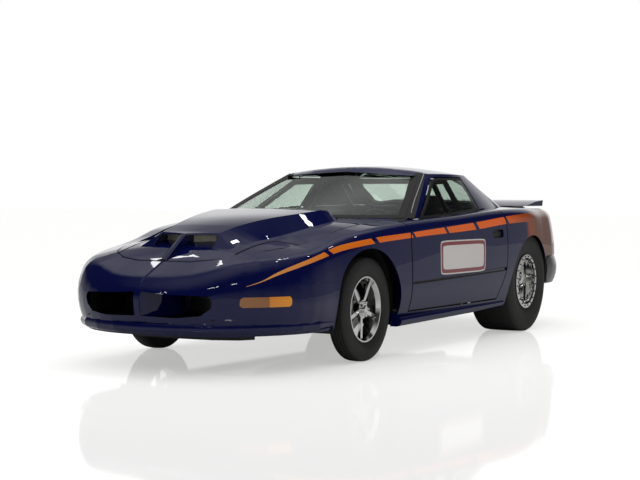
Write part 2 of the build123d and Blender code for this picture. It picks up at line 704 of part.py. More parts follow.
# Roll cage of round tube: side tubes on both sides, then tubes across
HOOP_X = -705.0
foot_z = FLOOR_Z + SHEET + 0.6
side_tubes = [
    ((HOOP_X, 680, foot_z), (HOOP_X, 650, 900)),
    ((HOOP_X, 650, 900), (HOOP_X, 500, 1150)),
    ((430, 680, foot_z), (430, 680, 780)),
    ((430, 680, 780), (-220, 505, 1140)),
    ((-220, 505, 1140), (HOOP_X, 500, 1150)),
    ((430, 680, 520), (HOOP_X, 672, 430)),
    ((HOOP_X, 400, 1150), (-1450, 400, 500)),
]
cross_tubes = [(HOOP_X, 500, 1150), (HOOP_X, 652, 860), (430, 680, 740)]
joint_balls = [(HOOP_X, 650, 900), (HOOP_X, 500, 1150), (430, 680, 780), (-220, 505, 1140)]
with BuildPart() as cage:
    for side in (1, -1):
        for a, b in side_tubes:
            start = Vector(a[0], side * a[1], a[2])
            along = Vector(b[0], side * b[1], b[2]) - start
            with BuildSketch(Plane(origin=start, z_dir=along)):
                Circle(TUBE_R)
            extrude(amount=along.length)
        for x, y, z in joint_balls:
            with Locations((x, side * y, z)):
                Sphere(TUBE_R + 2)
    for x, y, z in cross_tubes:
        with Locations((x, 0, z)):
            Cylinder(TUBE_R, 2 * y, rotation=(90, 0, 0))
cage = cage.part - block(-2600, 1200, -1000, 1000, 0, foot_z)
keep("roll_cage", cage - block(-2600, -1200, -1000, 1000, 0, 528.6))

# Driver's seat
SEAT_Y = 395.0
seat_side = [(40, 330), (40, 410), (-60, 400), (-380, 350), (-470, 420), (-590, 860), (-650, 850), (-540, 400), (-460, 300), (-60, 310)]
seat = side_prism(seat_side, SEAT_Y - 215, SEAT_Y + 215)
bolster_side = [(0, 330), (0, 470), (-330, 470), (-440, 560), (-530, 800), (-630, 800), (-540, 400), (-460, 300)]
for y in (SEAT_Y - 235, SEAT_Y + 200):
    seat = seat + side_prism(bolster_side, y, y + 35)
seat = seat + side_prism([(-560, 850), (-530, 1035), (-585, 1045), (-640, 850)], SEAT_Y - 105, SEAT_Y + 105)
for y in (SEAT_Y - 170, SEAT_Y + 150):
    seat = seat + block(-430, 0, y, y + 20, 236.6, 325)
keep("driver_seat", seat)

# Dashboard, steering column and wheel
dash = side_prism([(firewall_x - 0.1, 640), (firewall_x - 0.1, 836), (470, 836), (372, 800), (362, 700), (390, 640)], -640, 640)
dash = dash - both(rod((430, 680, 236), (430, 680, 790), TUBE_R + 6)) - rod((430, -690, 740), (430, 690, 740), TUBE_R + 0.6)
COLUMN_FOOT = Vector(420, SEAT_Y, 700)
WHEEL_HUB = Vector(150, SEAT_Y, 790)
axle_dir = (WHEEL_HUB - COLUMN_FOOT).normalized()
column_end = WHEEL_HUB - axle_dir * 30
dash = dash - rod(COLUMN_FOOT, column_end, 22.5)
keep("dashboard", dash)
keep("steering_column", rod(COLUMN_FOOT, column_end, 22) - rod((430, -690, 740), (430, 690, 740), TUBE_R + 6))
with BuildPart() as steering_wheel:
    with Locations(Plane(origin=WHEEL_HUB, x_dir=(0, 1, 0), z_dir=axle_dir)):
        Torus(158, 13)
        Cylinder(32, 36, align=(Align.CENTER, Align.CENTER, Align.CENTER))
        with PolarLocations(0, 3, start_angle=90):
            with Locations((80, 0, 0)):
                Box(145, 24, 8)
with BuildPart() as column_nose:
    with Locations(Plane(origin=WHEEL_HUB, x_dir=(0, 1, 0), z_dir=axle_dir)):
        with Locations((0, 0, -22.7)):
            Cylinder(14, 13.4)
keep("steering_wheel", steering_wheel.part + column_nose.part)

# Engine, gearbox, driveshaft
ENGINE_REAR_X = firewall_x + 80.0
engine = block(ENGINE_REAR_X + 0.5, front_x + 90, -150, 150, 235, 620)
engine = engine + block(ENGINE_REAR_X + 0.5, front_x + 60, -300, 300, 430, 640)
engine = engine + block(ENGINE_REAR_X + 60, front_x + 40, -130, 130, 620, 770)
keep("engine_block", engine)
keep("gearbox", block(-240, ENGINE_REAR_X, -125, 125, 215, 425))
AXLE_NOSE_X = rear_x + 190.0
shaft = rod((AXLE_NOSE_X - 20, 0, REAR_TYRE_R - 20), (-220, 0, 330), 42)
keep("drive_shaft", shaft & block(AXLE_NOSE_X + 0.6, -240.6, -100, 100, 0, 600))

# Rear axle, links and springs
axle = disc(rear_x, -620, 620, REAR_TYRE_R, 45)
axle = axle + disc(rear_x, -90, 90, REAR_TYRE_R, 130)
axle = axle + block(rear_x, AXLE_NOSE_X, -55, 55, REAR_TYRE_R - 75, REAR_TYRE_R + 35)
axle = axle + both(disc(rear_x, 600, 640, REAR_TYRE_R, 70))
spindle_end_y = REAR_TYRE_Y + 66
axle = axle + both(disc(rear_x, 630, spindle_end_y, REAR_TYRE_R, 34))
keep("rear_axle", axle)
link = rod((rear_x + 30, 330, 350), (rear_wall_x - 40, 330, 300), 16)
link = link - disc(rear_x, 200, 400, REAR_TYRE_R, 45.6)
link_eye = block(rear_wall_x - 70, rear_wall_x - SHEET - 0.6, 310, 350, 270, 330)
spring = rod((rear_x, 420, 434), (rear_x, 420, 519.4), 38) - disc(rear_x, 300, 500, REAR_TYRE_R, 45.6)
keep("rear_links", both(link + link_eye) + both(spring))
keep("fuel_cell", block(-2050, -1780, -300, 300, 528.6, 740))

# Front rails, cross member, arms, struts, radiator
rails = both(block(firewall_x + SHEET + 0.5, 2010, 390, 440, 300, 370))
rails = rails + block(1965, 2010, -440, 440, 300, 340)
hood_stop = block(1970, 2005, 300, 330, 340, 800) - hood_loft(300, -22.6)
keep("front_rails", rails + both(block(1970, 2005, 385, 420, 340, 380)) + both(hood_stop))
cross = block(front_x - 75, front_x + 75, -440, 440, 165, 234.4)
cross = cross + both(block(front_x - 60, front_x + 60, 390, 440, 234, 299.4))
arm = rod((front_x - 60, 430, 200), (front_x, KINGPIN_Y, 200), 17) + rod((front_x + 60, 430, 200), (front_x, KINGPIN_Y, 200), 17)
ball = rod((front_x, KINGPIN_Y, 180), (front_x, KINGPIN_Y, 224.4), 24)
subframe = cross + both(arm + ball)
strut_top = (front_x, 600, 730)
strut = rod((front_x, 650, 440), strut_top, 26) & block(0, 2000, 0, 1000, 470.7, 1000)
keep("front_subframe", subframe + both(strut))
keep("radiator", block(1968, 2008, -280, 280, 340.6, 640))
deflector_plan = both_sides([(1880, 0), (1880, 430), (1900, 450), (1990, 400), (2060, 250), (2080, 0)])
keep("air_deflector", plan_prism(deflector_plan, 178, 299.4) - plan_prism(deflector_plan, 150, 290, grow=-8))

# Knuckles that carry the front wheels
knuckle = block(front_x - 32, front_x + 32, KINGPIN_Y - 23, KINGPIN_Y + 29, 225, 470)
knuckle = knuckle + disc(front_x, 680, 694, FRONT_TYRE_R, 75)
knuckle = knuckle + disc(front_x, 690, FRONT_TYRE_Y + 18, FRONT_TYRE_R, 30)
keep_pair("knuckle", knuckle)


def wheel_ring(x, z, profile):
    """A profile of (y, radius) points turned about an axle at x, z."""
    with BuildPart() as turned:
        with BuildSketch(Plane(origin=(x, 0, z), x_dir=(0, 1, 0), z_dir=(-1, 0, 0))):
            with BuildLine():
                Polyline(*profile, close=True)
            make_face()
        revolve(axis=Axis((x, 0, z), (0, 1, 0)))
    return turned.part


def tyre_ring(x, z, y, half, bead_half, tread_half, radius):
    """A tyre about an axle: bead, round side walls and a slightly crowned tread."""
    shoulder = radius - 7
    wall_mid = (BEAD_R + radius) / 2 + 12
    bead = BEAD_R + 0.4
    lip = RIM_LIP_R + 1.0
    with BuildPart() as turned:
        with BuildSketch(Plane(origin=(x, 0, z), x_dir=(0, 1, 0), z_dir=(-1, 0, 0))):
            with BuildLine():
                Polyline((y - bead_half, lip), (y - bead_half, bead), (y + bead_half, bead), (y + bead_half, lip))
                ThreePointArc((y + bead_half, lip), (y + half, wall_mid), (y + tread_half, shoulder))
                ThreePointArc((y + tread_half, shoulder), (y, radius), (y - tread_half, shoulder))
                ThreePointArc((y - tread_half, shoulder), (y - half, wall_mid), (y - bead_half, lip))
            make_face()
        revolve(axis=Axis((x, 0, z), (0, 1, 0)))
    return turned.part


# Front wheels: slim five-spoke rims
fy = FRONT_TYRE_Y
FRONT_BEAD_HALF = 38.0
front_rim = wheel_ring(
    front_x,
    FRONT_TYRE_R,
    [
        (fy - 48, RIM_LIP_R),
        (fy - 38.6, RIM_LIP_R),
        (fy - 38.6, BEAD_R),
        (fy + 38.6, BEAD_R),
        (fy + 38.6, RIM_LIP_R),
        (fy + 46, RIM_LIP_R),
        (fy + 46, RIM_LIP_R - 9),
        (fy + 20, 187),
        (fy - 48, 187),
    ],
)
front_rim = front_rim + disc(front_x, fy - 30, fy + 26, FRONT_TYRE_R, 58)
for k in range(5):
    angle = 90 + 72 * k
    with BuildPart() as spoke:
        with Locations(Plane(origin=(front_x, fy + 6, FRONT_TYRE_R), x_dir=(1, 0, 0), z_dir=(0, 1, 0))):
            with Locations(Rotation(0, 0, angle)):
                with Locations((120, 0, 0)):
                    Box(140, 26, 20)
    front_rim = front_rim + spoke.part
front_rim = front_rim - disc(front_x, 600, fy + 18.6, FRONT_TYRE_R, 30.4)
keep_pair("front_rim", front_rim)
keep_pair("front_tyre", tyre_ring(front_x, FRONT_TYRE_R, fy, FRONT_TYRE_HALF, FRONT_BEAD_HALF, 50, FRONT_TYRE_R))

# Rear wheels: deep rims with a clamp ring
ry = REAR_TYRE_Y
REAR_BEAD_HALF = 144.0
rear_rim = wheel_ring(
    rear_x,
    REAR_TYRE_R,
    [
        (ry - 152, RIM_LIP_R),
        (ry - 144.6, RIM_LIP_R),
        (ry - 144.6, BEAD_R),
        (ry + 144.6, BEAD_R),
        (ry + 144.6, RIM_LIP_R),
        (ry + 158, RIM_LIP_R),
        (ry + 160, RIM_LIP_R - 6),
        (ry + 160, RIM_LIP_R - 28),
        (ry + 146, RIM_LIP_R - 30),
        (ry + 60, 176),
        (ry - 152, 182),
    ],
)
rear_rim = rear_rim + disc(rear_x, ry + 40, ry + 62, REAR_TYRE_R, 178)
rear_rim = rear_rim + disc(rear_x, ry + 30, ry + 84, REAR_TYRE_R, 62)
for k in range(10):
    angle = math.radians(36 * k + 18)
    rear_rim = rear_rim - disc(rear_x + 122 * math.cos(angle), 600, 1000, REAR_TYRE_R + 122 * math.sin(angle), 27)
rear_rim = rear_rim - disc(rear_x, 600, spindle_end_y + 0.6, REAR_TYRE_R, 34.4)
keep_pair("rear_rim", rear_rim)
keep_pair("rear_tyre", tyre_ring(rear_x, REAR_TYRE_R, ry, REAR_TYRE_HALF, REAR_BEAD_HALF, 128, REAR_TYRE_R))
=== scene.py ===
# %% [markdown]
# A drag racing coupe, dressed for a studio picture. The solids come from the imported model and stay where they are.
# This lesson adds the paint, glass, rubber, metal and the small pieces that the solids leave out, one step at a time.

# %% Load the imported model
import json
import math

import bmesh
import bpy
from mathutils import Matrix, Vector
from mathutils.bvhtree import BVHTree


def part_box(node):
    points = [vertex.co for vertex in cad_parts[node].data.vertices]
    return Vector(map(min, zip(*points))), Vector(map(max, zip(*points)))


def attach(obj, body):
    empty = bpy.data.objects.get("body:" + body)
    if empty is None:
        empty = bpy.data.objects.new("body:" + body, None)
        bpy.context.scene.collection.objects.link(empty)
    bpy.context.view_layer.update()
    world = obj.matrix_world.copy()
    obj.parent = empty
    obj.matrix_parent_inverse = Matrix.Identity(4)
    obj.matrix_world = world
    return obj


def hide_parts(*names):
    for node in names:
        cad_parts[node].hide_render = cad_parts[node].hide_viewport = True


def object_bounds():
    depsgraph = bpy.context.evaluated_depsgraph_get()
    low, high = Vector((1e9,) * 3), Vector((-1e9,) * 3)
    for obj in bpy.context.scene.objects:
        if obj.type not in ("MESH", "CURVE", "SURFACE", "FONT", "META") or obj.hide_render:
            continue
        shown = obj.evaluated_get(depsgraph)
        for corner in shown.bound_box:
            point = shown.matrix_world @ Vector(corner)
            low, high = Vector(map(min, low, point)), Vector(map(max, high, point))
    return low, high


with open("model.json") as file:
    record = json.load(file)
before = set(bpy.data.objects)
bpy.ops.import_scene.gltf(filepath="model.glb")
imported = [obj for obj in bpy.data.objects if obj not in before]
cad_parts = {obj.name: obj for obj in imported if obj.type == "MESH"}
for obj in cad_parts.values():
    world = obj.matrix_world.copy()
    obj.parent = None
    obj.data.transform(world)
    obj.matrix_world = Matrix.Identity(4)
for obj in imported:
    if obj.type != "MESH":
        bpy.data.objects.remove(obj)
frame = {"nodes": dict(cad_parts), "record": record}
nodes = frame["nodes"]
cad_low, cad_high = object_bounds()
print("solids", len(nodes), "box", [round(v, 3) for v in (*cad_low, *cad_high)])

# %% [markdown]
# The camera stands low, ahead of the car on its left side, with a long lens. It could be placed by eye, but a solved
# camera lets each seam be set against the picture. This one comes from the edges of the two near rims and three tyre
# contacts, with the wheelbase, the front rim's size and the rough place of the wheels assumed.

# %% Camera
SENSOR_WIDTH = 36.0
LENS = 86.4
FAR_LIMIT = 200.0
CAMERA_PLACE = (9.754, 5.258, 1.067)
yaw, pitch, roll = (math.radians(a) for a in (-150.938, -1.784, 0.360))
camera_data = bpy.data.cameras.new("camera")
camera_data.sensor_width = SENSOR_WIDTH
camera_data.lens = LENS
camera_data.clip_end = FAR_LIMIT
camera = bpy.data.objects.new("camera", camera_data)
bpy.context.scene.collection.objects.link(camera)
ahead = Vector((math.cos(yaw) * math.cos(pitch), math.sin(yaw) * math.cos(pitch), math.sin(pitch)))
turn = ahead.to_track_quat("-Z", "Y").to_matrix() @ Matrix.Rotation(roll, 3, "Z")
camera.matrix_world = Matrix.Translation(CAMERA_PLACE) @ turn.to_4x4()
bpy.context.scene.camera = camera
print("camera at", CAMERA_PLACE)

# %% [markdown]
# The studio floor is pale and polished: it mirrors the car and takes a soft shadow. A flat sheet with a thin gloss over
# matt white does both. It could be lit until it is as white as the wall, but that light would also wash out the paint,
# so for the camera alone its colour is lifted and part of its white is its own light.


# %% Studio floor
def node(tree, kind, **settings):
    """Adds a shader node and sets its options."""
    made = tree.nodes.new("ShaderNode" + kind)
    for key, value in settings.items():
        setattr(made, key, value)
    return made


def sum_of(tree, operation, *terms):
    """A Math node; each term is a number or another node's output."""
    made = node(tree, "Math", operation=operation)
    for socket, value in zip(made.inputs, terms):
        if isinstance(value, (int, float)):
            socket.default_value = value
        else:
            tree.links.new(value, socket)
    return made.outputs["Value"]


def stage_plane(name, size, place):
    """A flat sheet of the studio, which is no part of the car."""
    sheet = bmesh.new()
    bmesh.ops.create_grid(sheet, x_segments=1, y_segments=1, size=size)
    bmesh.ops.translate(sheet, verts=sheet.verts, vec=place)
    mesh = bpy.data.meshes.new(name)
    sheet.to_mesh(mesh)
    sheet.free()
    made = bpy.data.objects.new(name, mesh)
    bpy.context.scene.collection.objects.link(made)
    return made


FLOOR_REACH = 60
FLOOR_OWN_LIGHT = 0.6
FLOOR_GLOSS = 0.26
floor = stage_plane("studio_floor", FLOOR_REACH, (0, 0, cad_low.z))
floor_paint = bpy.data.materials.new("studio_white")
floor_paint.use_nodes = True
tree = floor_paint.node_tree
tree.nodes.clear()
rays = node(tree, "LightPath")
matt = node(tree, "BsdfDiffuse")
matt.inputs["Color"].default_value = (0.85, 0.85, 0.84, 1)
lifted = node(tree, "BsdfDiffuse")
lifted.inputs["Color"].default_value = (2.1, 2.1, 2.08, 1)
white = node(tree, "Emission")
white.inputs["Color"].default_value = (1.0, 1.0, 0.99, 1)
seen = node(tree, "MixShader")
seen.inputs["Fac"].default_value = FLOOR_OWN_LIGHT
gloss = node(tree, "BsdfGlossy")
gloss.inputs["Roughness"].default_value = 0.05
under = node(tree, "MixShader")
over = node(tree, "MixShader")
over.inputs["Fac"].default_value = FLOOR_GLOSS
out = node(tree, "OutputMaterial")
tree.links.new(rays.outputs["Is Camera Ray"], under.inputs["Fac"])
tree.links.new(matt.outputs["BSDF"], under.inputs[1])
tree.links.new(lifted.outputs["BSDF"], seen.inputs[1])
tree.links.new(white.outputs["Emission"], seen.inputs[2])
tree.links.new(seen.outputs["Shader"], under.inputs[2])
tree.links.new(under.outputs["Shader"], over.inputs[1])
tree.links.new(gloss.outputs["BSDF"], over.inputs[2])
tree.links.new(over.outputs["Shader"], out.inputs["Surface"])
floor.data.materials.append(floor_paint)
print("floor at", round(cad_low.z, 3))

# %% [markdown]
# Dark gloss paint shows the room more than its own colour. Walls and a ceiling could be modelled, but a world whose
# brightness depends on height and heading is easier to tune. The side walls are dim, so the flanks stay dark, and the
# wall behind the car is bright, so pale light runs along the roof and the hood.


# %% Room
world = bpy.data.worlds.new("white_room")
bpy.context.scene.world = world
world.use_nodes = True
tree = world.node_tree
tree.nodes.clear()
look = node(tree, "TexCoord").outputs["Generated"]
heading = node(tree, "SeparateXYZ")
tree.links.new(look, heading.inputs["Vector"])
# Brightness of the room as gloss sees it, by the sine of the height above the horizon
SIDE_WALL = [(0.0, 0.26), (0.1, 0.24), (0.2, 0.12), (0.3, 0.02), (0.7, 0.02), (0.85, 0.15), (1.0, 0.5)]
BACK_WALL = [(0.0, 1.0), (0.2, 1.0), (0.32, 0.5), (0.42, 0.26), (0.56, 0.24), (0.66, 0.5), (0.85, 0.3), (1.0, 0.6)]
ROOM_LIGHT = 0.55
# Heading of the back wall, and how near to it the side wall gives way, as a cosine
BACK_HEADING = (-0.875, -0.484, 0.0)
BACK_STARTS, BACK_FULL = 0.80, 0.93


def wall(levels):
    """Grey levels up a wall, from the horizon to overhead."""
    ramp = node(tree, "ValToRGB")
    marks = ramp.color_ramp.elements
    while len(marks) < len(levels):
        marks.new(0.5)
    for mark, (height, level) in zip(marks, levels):
        mark.position = height
        mark.color = (level, level, level, 1)
    tree.links.new(heading.outputs["Z"], ramp.inputs["Fac"])
    return ramp.outputs["Color"]


level = node(tree, "VectorMath", operation="MULTIPLY")
level.inputs[1].default_value = (1, 1, 0)
tree.links.new(look, level.inputs[0])
compass = node(tree, "VectorMath", operation="NORMALIZE")
tree.links.new(level.outputs["Vector"], compass.inputs[0])
behind = node(tree, "VectorMath", operation="DOT_PRODUCT")
behind.inputs[1].default_value = BACK_HEADING
tree.links.new(compass.outputs["Vector"], behind.inputs[0])
toward_back = node(tree, "MapRange", interpolation_type="SMOOTHSTEP")
toward_back.inputs["From Min"].default_value = BACK_STARTS
toward_back.inputs["From Max"].default_value = BACK_FULL
tree.links.new(behind.outputs["Value"], toward_back.inputs["Value"])
walls = node(tree, "Mix", data_type="RGBA")
tree.links.new(toward_back.outputs["Result"], walls.inputs["Factor"])
tree.links.new(wall(SIDE_WALL), walls.inputs["A"])
tree.links.new(wall(BACK_WALL), walls.inputs["B"])
rays = node(tree, "LightPath")
plain_view = node(tree, "Mix", data_type="RGBA")
plain_view.inputs["A"].default_value = (ROOM_LIGHT, ROOM_LIGHT, ROOM_LIGHT, 1)
plain_view.inputs["B"].default_value = (1, 1, 1, 1)
clear_view = sum_of(tree, "MAXIMUM", rays.outputs["Is Camera Ray"], rays.outputs["Is Transmission Ray"])
tree.links.new(clear_view, plain_view.inputs["Factor"])
mirror_view = node(tree, "Mix", data_type="RGBA")
tree.links.new(plain_view.outputs["Result"], mirror_view.inputs["A"])
tree.links.new(rays.outputs["Is Glossy Ray"], mirror_view.inputs["Factor"])
tree.links.new(walls.outputs["Result"], mirror_view.inputs["B"])
sky = node(tree, "Background")
out = node(tree, "OutputWorld")
tree.links.new(mirror_view.outputs["Result"], sky.inputs["Color"])
tree.links.new(sky.outputs["Background"], out.inputs["Surface"])
print("wall levels", len(SIDE_WALL), len(BACK_WALL))

# %% [markdown]
# A large soft box overhead gives the even light and stays out of reflections. Real paint also shows glints of small
# ceiling lamps. They could be painted on, but would then stay put when a panel moves, so small lamps hang where their
# mirror images fall on the hood and the nose.

# %% Lamps
# Each lamp: name, place, aim, width, depth, power in watts
LAMPS = [
    ("top_box", (0.2, 0.0, 4.6), (0, 0, 0), 6.0, 2.6, 70),
    ("back_box", (-0.66, -3.0, 4.2), (2.2, 0.2, 0.6), 0.8, 0.2, 3),
    ("roof_spot_1", (-0.9, 0.03, 4.2), (1.85, 0.25, 0.8), 0.16, 0.1, 1.0),
    ("roof_spot_2", (-1.66, 1.15, 4.2), (1.2, 0.4, 0.9), 0.16, 0.1, 1.0),
    ("roof_spot_3", (-0.05, 0.74, 4.2), (2.0, 0.66, 0.66), 0.2, 0.1, 1.2),
    ("front_spot_1", (6.9, -1.8, 4.2), (2.4, 0.2, 0.5), 0.4, 0.2, 4),
    ("front_spot_2", (6.6, 2.2, 4.2), (2.3, 0.4, 0.5), 0.4, 0.2, 4),
    ("front_spot_3", (6.1, 4.4, 4.2), (2.2, 0.6, 0.5), 0.4, 0.2, 4),
]
for name, place, aim, width, depth, power in LAMPS:
    lamp = bpy.data.lights.new(name, "AREA")
    lamp.shape = "RECTANGLE"
    lamp.size = width
    lamp.size_y = depth
    lamp.energy = power
    holder = bpy.data.objects.new(name, lamp)
    holder.location = place
    holder.rotation_euler = (Vector(aim) - Vector(place)).to_track_quat("-Z", "Y").to_euler()
    holder.visible_glossy = name != "top_box"
    bpy.context.scene.collection.objects.link(holder)
bpy.context.scene.view_settings.view_transform = "Standard"
print("lamps", len(LAMPS))

# %% [markdown]
# The paint is a deep blue with fine flake under a thick clear coat, and an orange stripe is sprayed on the same panels.
# The stripe could be a thin piece of its own, but it has no thickness to speak of, so it belongs in the paint. Two
# curves give its edges along the car, slanted lines of bare blue break it into bars, and behind the door it spreads and
# darkens over the whole rear corner. First come the helpers that build a finish.


# %% Helpers for finishes
def finish(name, **sockets):
    """A Principled material with these socket values. Returns the material, its tree and its shader."""
    material = bpy.data.materials.new(name)
    material.use_nodes = True
    shader = material.node_tree.nodes["Principled BSDF"]
    for socket, value in sockets.items():
        if isinstance(value, tuple):
            value = (*value, 1)
        shader.inputs[socket.replace("_", " ")].default_value = value
    return material, material.node_tree, shader


def edge_curve(tree, along, points):
    """A height that follows one edge of the stripe. Points are x and z in metres, from the tail to the nose."""
    x_low, x_high, z_low, z_high = points[0][0], points[-1][0], 0.4, 1.0
    place = sum_of(tree, "DIVIDE", sum_of(tree, "SUBTRACT", along, x_low), x_high - x_low)
    curve = node(tree, "FloatCurve")
    spots = curve.mapping.curves[0].points
    flat = [((x - x_low) / (x_high - x_low), (z - z_low) / (z_high - z_low)) for x, z in points]
    spots[0].location = flat[0]
    spots[-1].location = flat[-1]
    for spot in flat[1:-1]:
        spots.new(*spot)
    curve.mapping.update()
    tree.links.new(place, curve.inputs["Value"])
    return sum_of(tree, "MULTIPLY_ADD", curve.outputs["Value"], z_high - z_low, z_low)


def colour_ramp(tree, value, stops, stepped=False):
    """Colours along a value from 0 to 1; each stop is a place and a colour."""
    ramp = node(tree, "ValToRGB")
    ramp.color_ramp.interpolation = "CONSTANT" if stepped else "LINEAR"
    marks = ramp.color_ramp.elements
    while len(marks) < len(stops):
        marks.new(0.5)
    for mark, (place, colour) in zip(marks, stops):
        mark.position = place
        mark.color = (*colour, 1)
    tree.links.new(value, ramp.inputs["Fac"])
    return ramp.outputs["Color"]


print("materials so far", len(bpy.data.materials))

# %% Paint with its stripe
# Edges of the stripe from the tail to the nose: x, z in metres
STRIPE_LOW = [
    (-2.6, 0.84),
    (-1.05, 0.845),
    (-0.32, 0.806),
    (0.54, 0.774),
    (1.21, 0.735),
    (1.69, 0.663),
    (2.0, 0.599),
    (2.19, 0.536),
    (2.6, 0.40),
]
STRIPE_HIGH = [
    (-2.6, 0.95),
    (-1.05, 0.902),
    (-0.32, 0.857),
    (0.54, 0.810),
    (1.21, 0.770),
    (1.69, 0.688),
    (2.0, 0.618),
    (2.19, 0.540),
    (2.6, 0.40),
]
STRIPE_BREAKS = [-0.984, -0.403, 0.10, 0.589, 1.077, 1.575]
BREAK_WIDTH = 0.044
FADE_X = -1.31
FADE_HALF = 0.05
# Distance from the centre line where the rear colour starts and is full, and limits of the bars
CORNER_STARTS, CORNER_FULL = 0.66, 0.82
SIDE_Y = 0.6
TAIL_X = -2.2
FLAKES_PER_METRE = 700.0
# A colour ramp runs from 0 to 1, so five metres of car are scaled to one
RAMP_SCALE = 0.2
# How clearly a face has to look outwards to take the stripe, so that shut faces stay plain
FACING_OUT = 0.08
# Colour of the stripe along the car: x in metres, colour
STRIPE_COLOURS = [
    (-2.4, (0.11, 0.035, 0.015)),
    (-1.5, (0.18, 0.042, 0.010)),
    (-1.15, (0.55, 0.085, 0.007)),
    (-0.8, (0.98, 0.150, 0.006)),
    (0.6, (0.98, 0.165, 0.007)),
    (1.6, (0.76, 0.20, 0.022)),
    (2.2, (0.82, 0.38, 0.12)),
]

paint, tree, shader = finish(
    "flake_paint", Metallic=0.0, Roughness=0.5, Specular_IOR_Level=0.0, Coat_Weight=1.0, Coat_Roughness=0.025
)
place = node(tree, "TexCoord").outputs["Object"]
parts = node(tree, "SeparateXYZ")
tree.links.new(place, parts.inputs["Vector"])
x, y, z = (parts.outputs[k] for k in "XYZ")
low = edge_curve(tree, x, STRIPE_LOW)
high = edge_curve(tree, x, STRIPE_HIGH)
under_top = sum_of(tree, "LESS_THAN", z, high)
band = sum_of(tree, "MULTIPLY", sum_of(tree, "GREATER_THAN", z, low), under_top)
slant = sum_of(tree, "MULTIPLY_ADD", sum_of(tree, "SUBTRACT", x, z), RAMP_SCALE, 0.6)
breaks = [(0.0, (1, 1, 1))]
for at in STRIPE_BREAKS:
    # The stripe falls towards the nose, so each break is set at the stripe's own height there
    height = 0.80 - 0.055 * max(0.0, at - 0.2) ** 1.6
    middle = (at - height) * RAMP_SCALE + 0.6
    breaks += [(middle - 0.1 * BREAK_WIDTH, (0, 0, 0)), (middle + 0.1 * BREAK_WIDTH, (1, 1, 1))]
band = sum_of(tree, "MULTIPLY", band, colour_ramp(tree, slant, breaks, stepped=True))
fade = node(tree, "MapRange", interpolation_type="SMOOTHSTEP")
fade_span = (("From Min", FADE_X + FADE_HALF), ("From Max", FADE_X - FADE_HALF), ("To Min", 0), ("To Max", 1))
for socket, value in fade_span:
    fade.inputs[socket].default_value = value
tree.links.new(x, fade.inputs["Value"])
around = node(tree, "MapRange", interpolation_type="SMOOTHSTEP")
for socket, value in (("From Min", CORNER_STARTS), ("From Max", CORNER_FULL), ("To Min", 0), ("To Max", 1)):
    around.inputs[socket].default_value = value
outward = sum_of(tree, "ABSOLUTE", y)
tree.links.new(outward, around.inputs["Value"])
corner = sum_of(tree, "MULTIPLY", fade.outputs["Result"], under_top)
corner = sum_of(tree, "MULTIPLY", corner, around.outputs["Result"])
on_side = sum_of(tree, "GREATER_THAN", outward, SIDE_Y)
not_tail = sum_of(tree, "GREATER_THAN", x, TAIL_X)
band = sum_of(tree, "MULTIPLY", band, sum_of(tree, "MULTIPLY", on_side, not_tail))
facing = node(tree, "SeparateXYZ")
tree.links.new(node(tree, "TexCoord").outputs["Normal"], facing.inputs["Vector"])
looks_out = sum_of(tree, "MULTIPLY", facing.outputs["Y"], y)
outer_skin = sum_of(tree, "GREATER_THAN", looks_out, FACING_OUT)
mask = sum_of(tree, "MULTIPLY", sum_of(tree, "MAXIMUM", band, corner), outer_skin)
along_car = sum_of(tree, "MULTIPLY_ADD", x, RAMP_SCALE, 0.5)
orange = colour_ramp(tree, along_car, [(at * RAMP_SCALE + 0.5, colour) for at, colour in STRIPE_COLOURS])
flake = node(tree, "TexVoronoi")
flake.inputs["Scale"].default_value = FLAKES_PER_METRE
tree.links.new(place, flake.inputs["Vector"])
blue = colour_ramp(tree, flake.outputs["Distance"], [(0.0, (0.004, 0.007, 0.085)), (0.8, (0.002, 0.0035, 0.040))])
colour = node(tree, "Mix", data_type="RGBA")
tree.links.new(mask, colour.inputs["Factor"])
tree.links.new(blue, colour.inputs["A"])
tree.links.new(orange, colour.inputs["B"])
tree.links.new(colour.outputs["Result"], shader.inputs["Base Color"])
print("paint nodes", len(tree.nodes))

# %% [markdown]
# The other finishes are rubber, metal, plastic, cloth, lenses and glass. Flat colours would do from afar, but nothing on
# a car is so even, so each gets uneven gloss and a faint relief from one noise pattern that is fixed to the piece.


# %% Other finishes
def grain(made, scale, gloss, relief, depth=0.0005):
    """Uneven gloss between two roughness values, and a shallow relief, on the piece's own coordinates."""
    material, tree, shader = made
    spot = node(tree, "TexCoord")
    noise = node(tree, "TexNoise")
    noise.inputs["Scale"].default_value = scale
    noise.inputs["Detail"].default_value = 5.0
    spread = node(tree, "MapRange")
    spread.inputs["To Min"].default_value = gloss[0]
    spread.inputs["To Max"].default_value = gloss[1]
    bump = node(tree, "Bump")
    bump.inputs["Strength"].default_value = relief
    bump.inputs["Distance"].default_value = depth
    tree.links.new(spot.outputs["Object"], noise.inputs["Vector"])
    tree.links.new(noise.outputs["Fac"], spread.inputs["Value"])
    tree.links.new(spread.outputs["Result"], shader.inputs["Roughness"])
    tree.links.new(noise.outputs["Fac"], bump.inputs["Height"])
    tree.links.new(bump.outputs["Normal"], shader.inputs["Normal"])
    return material


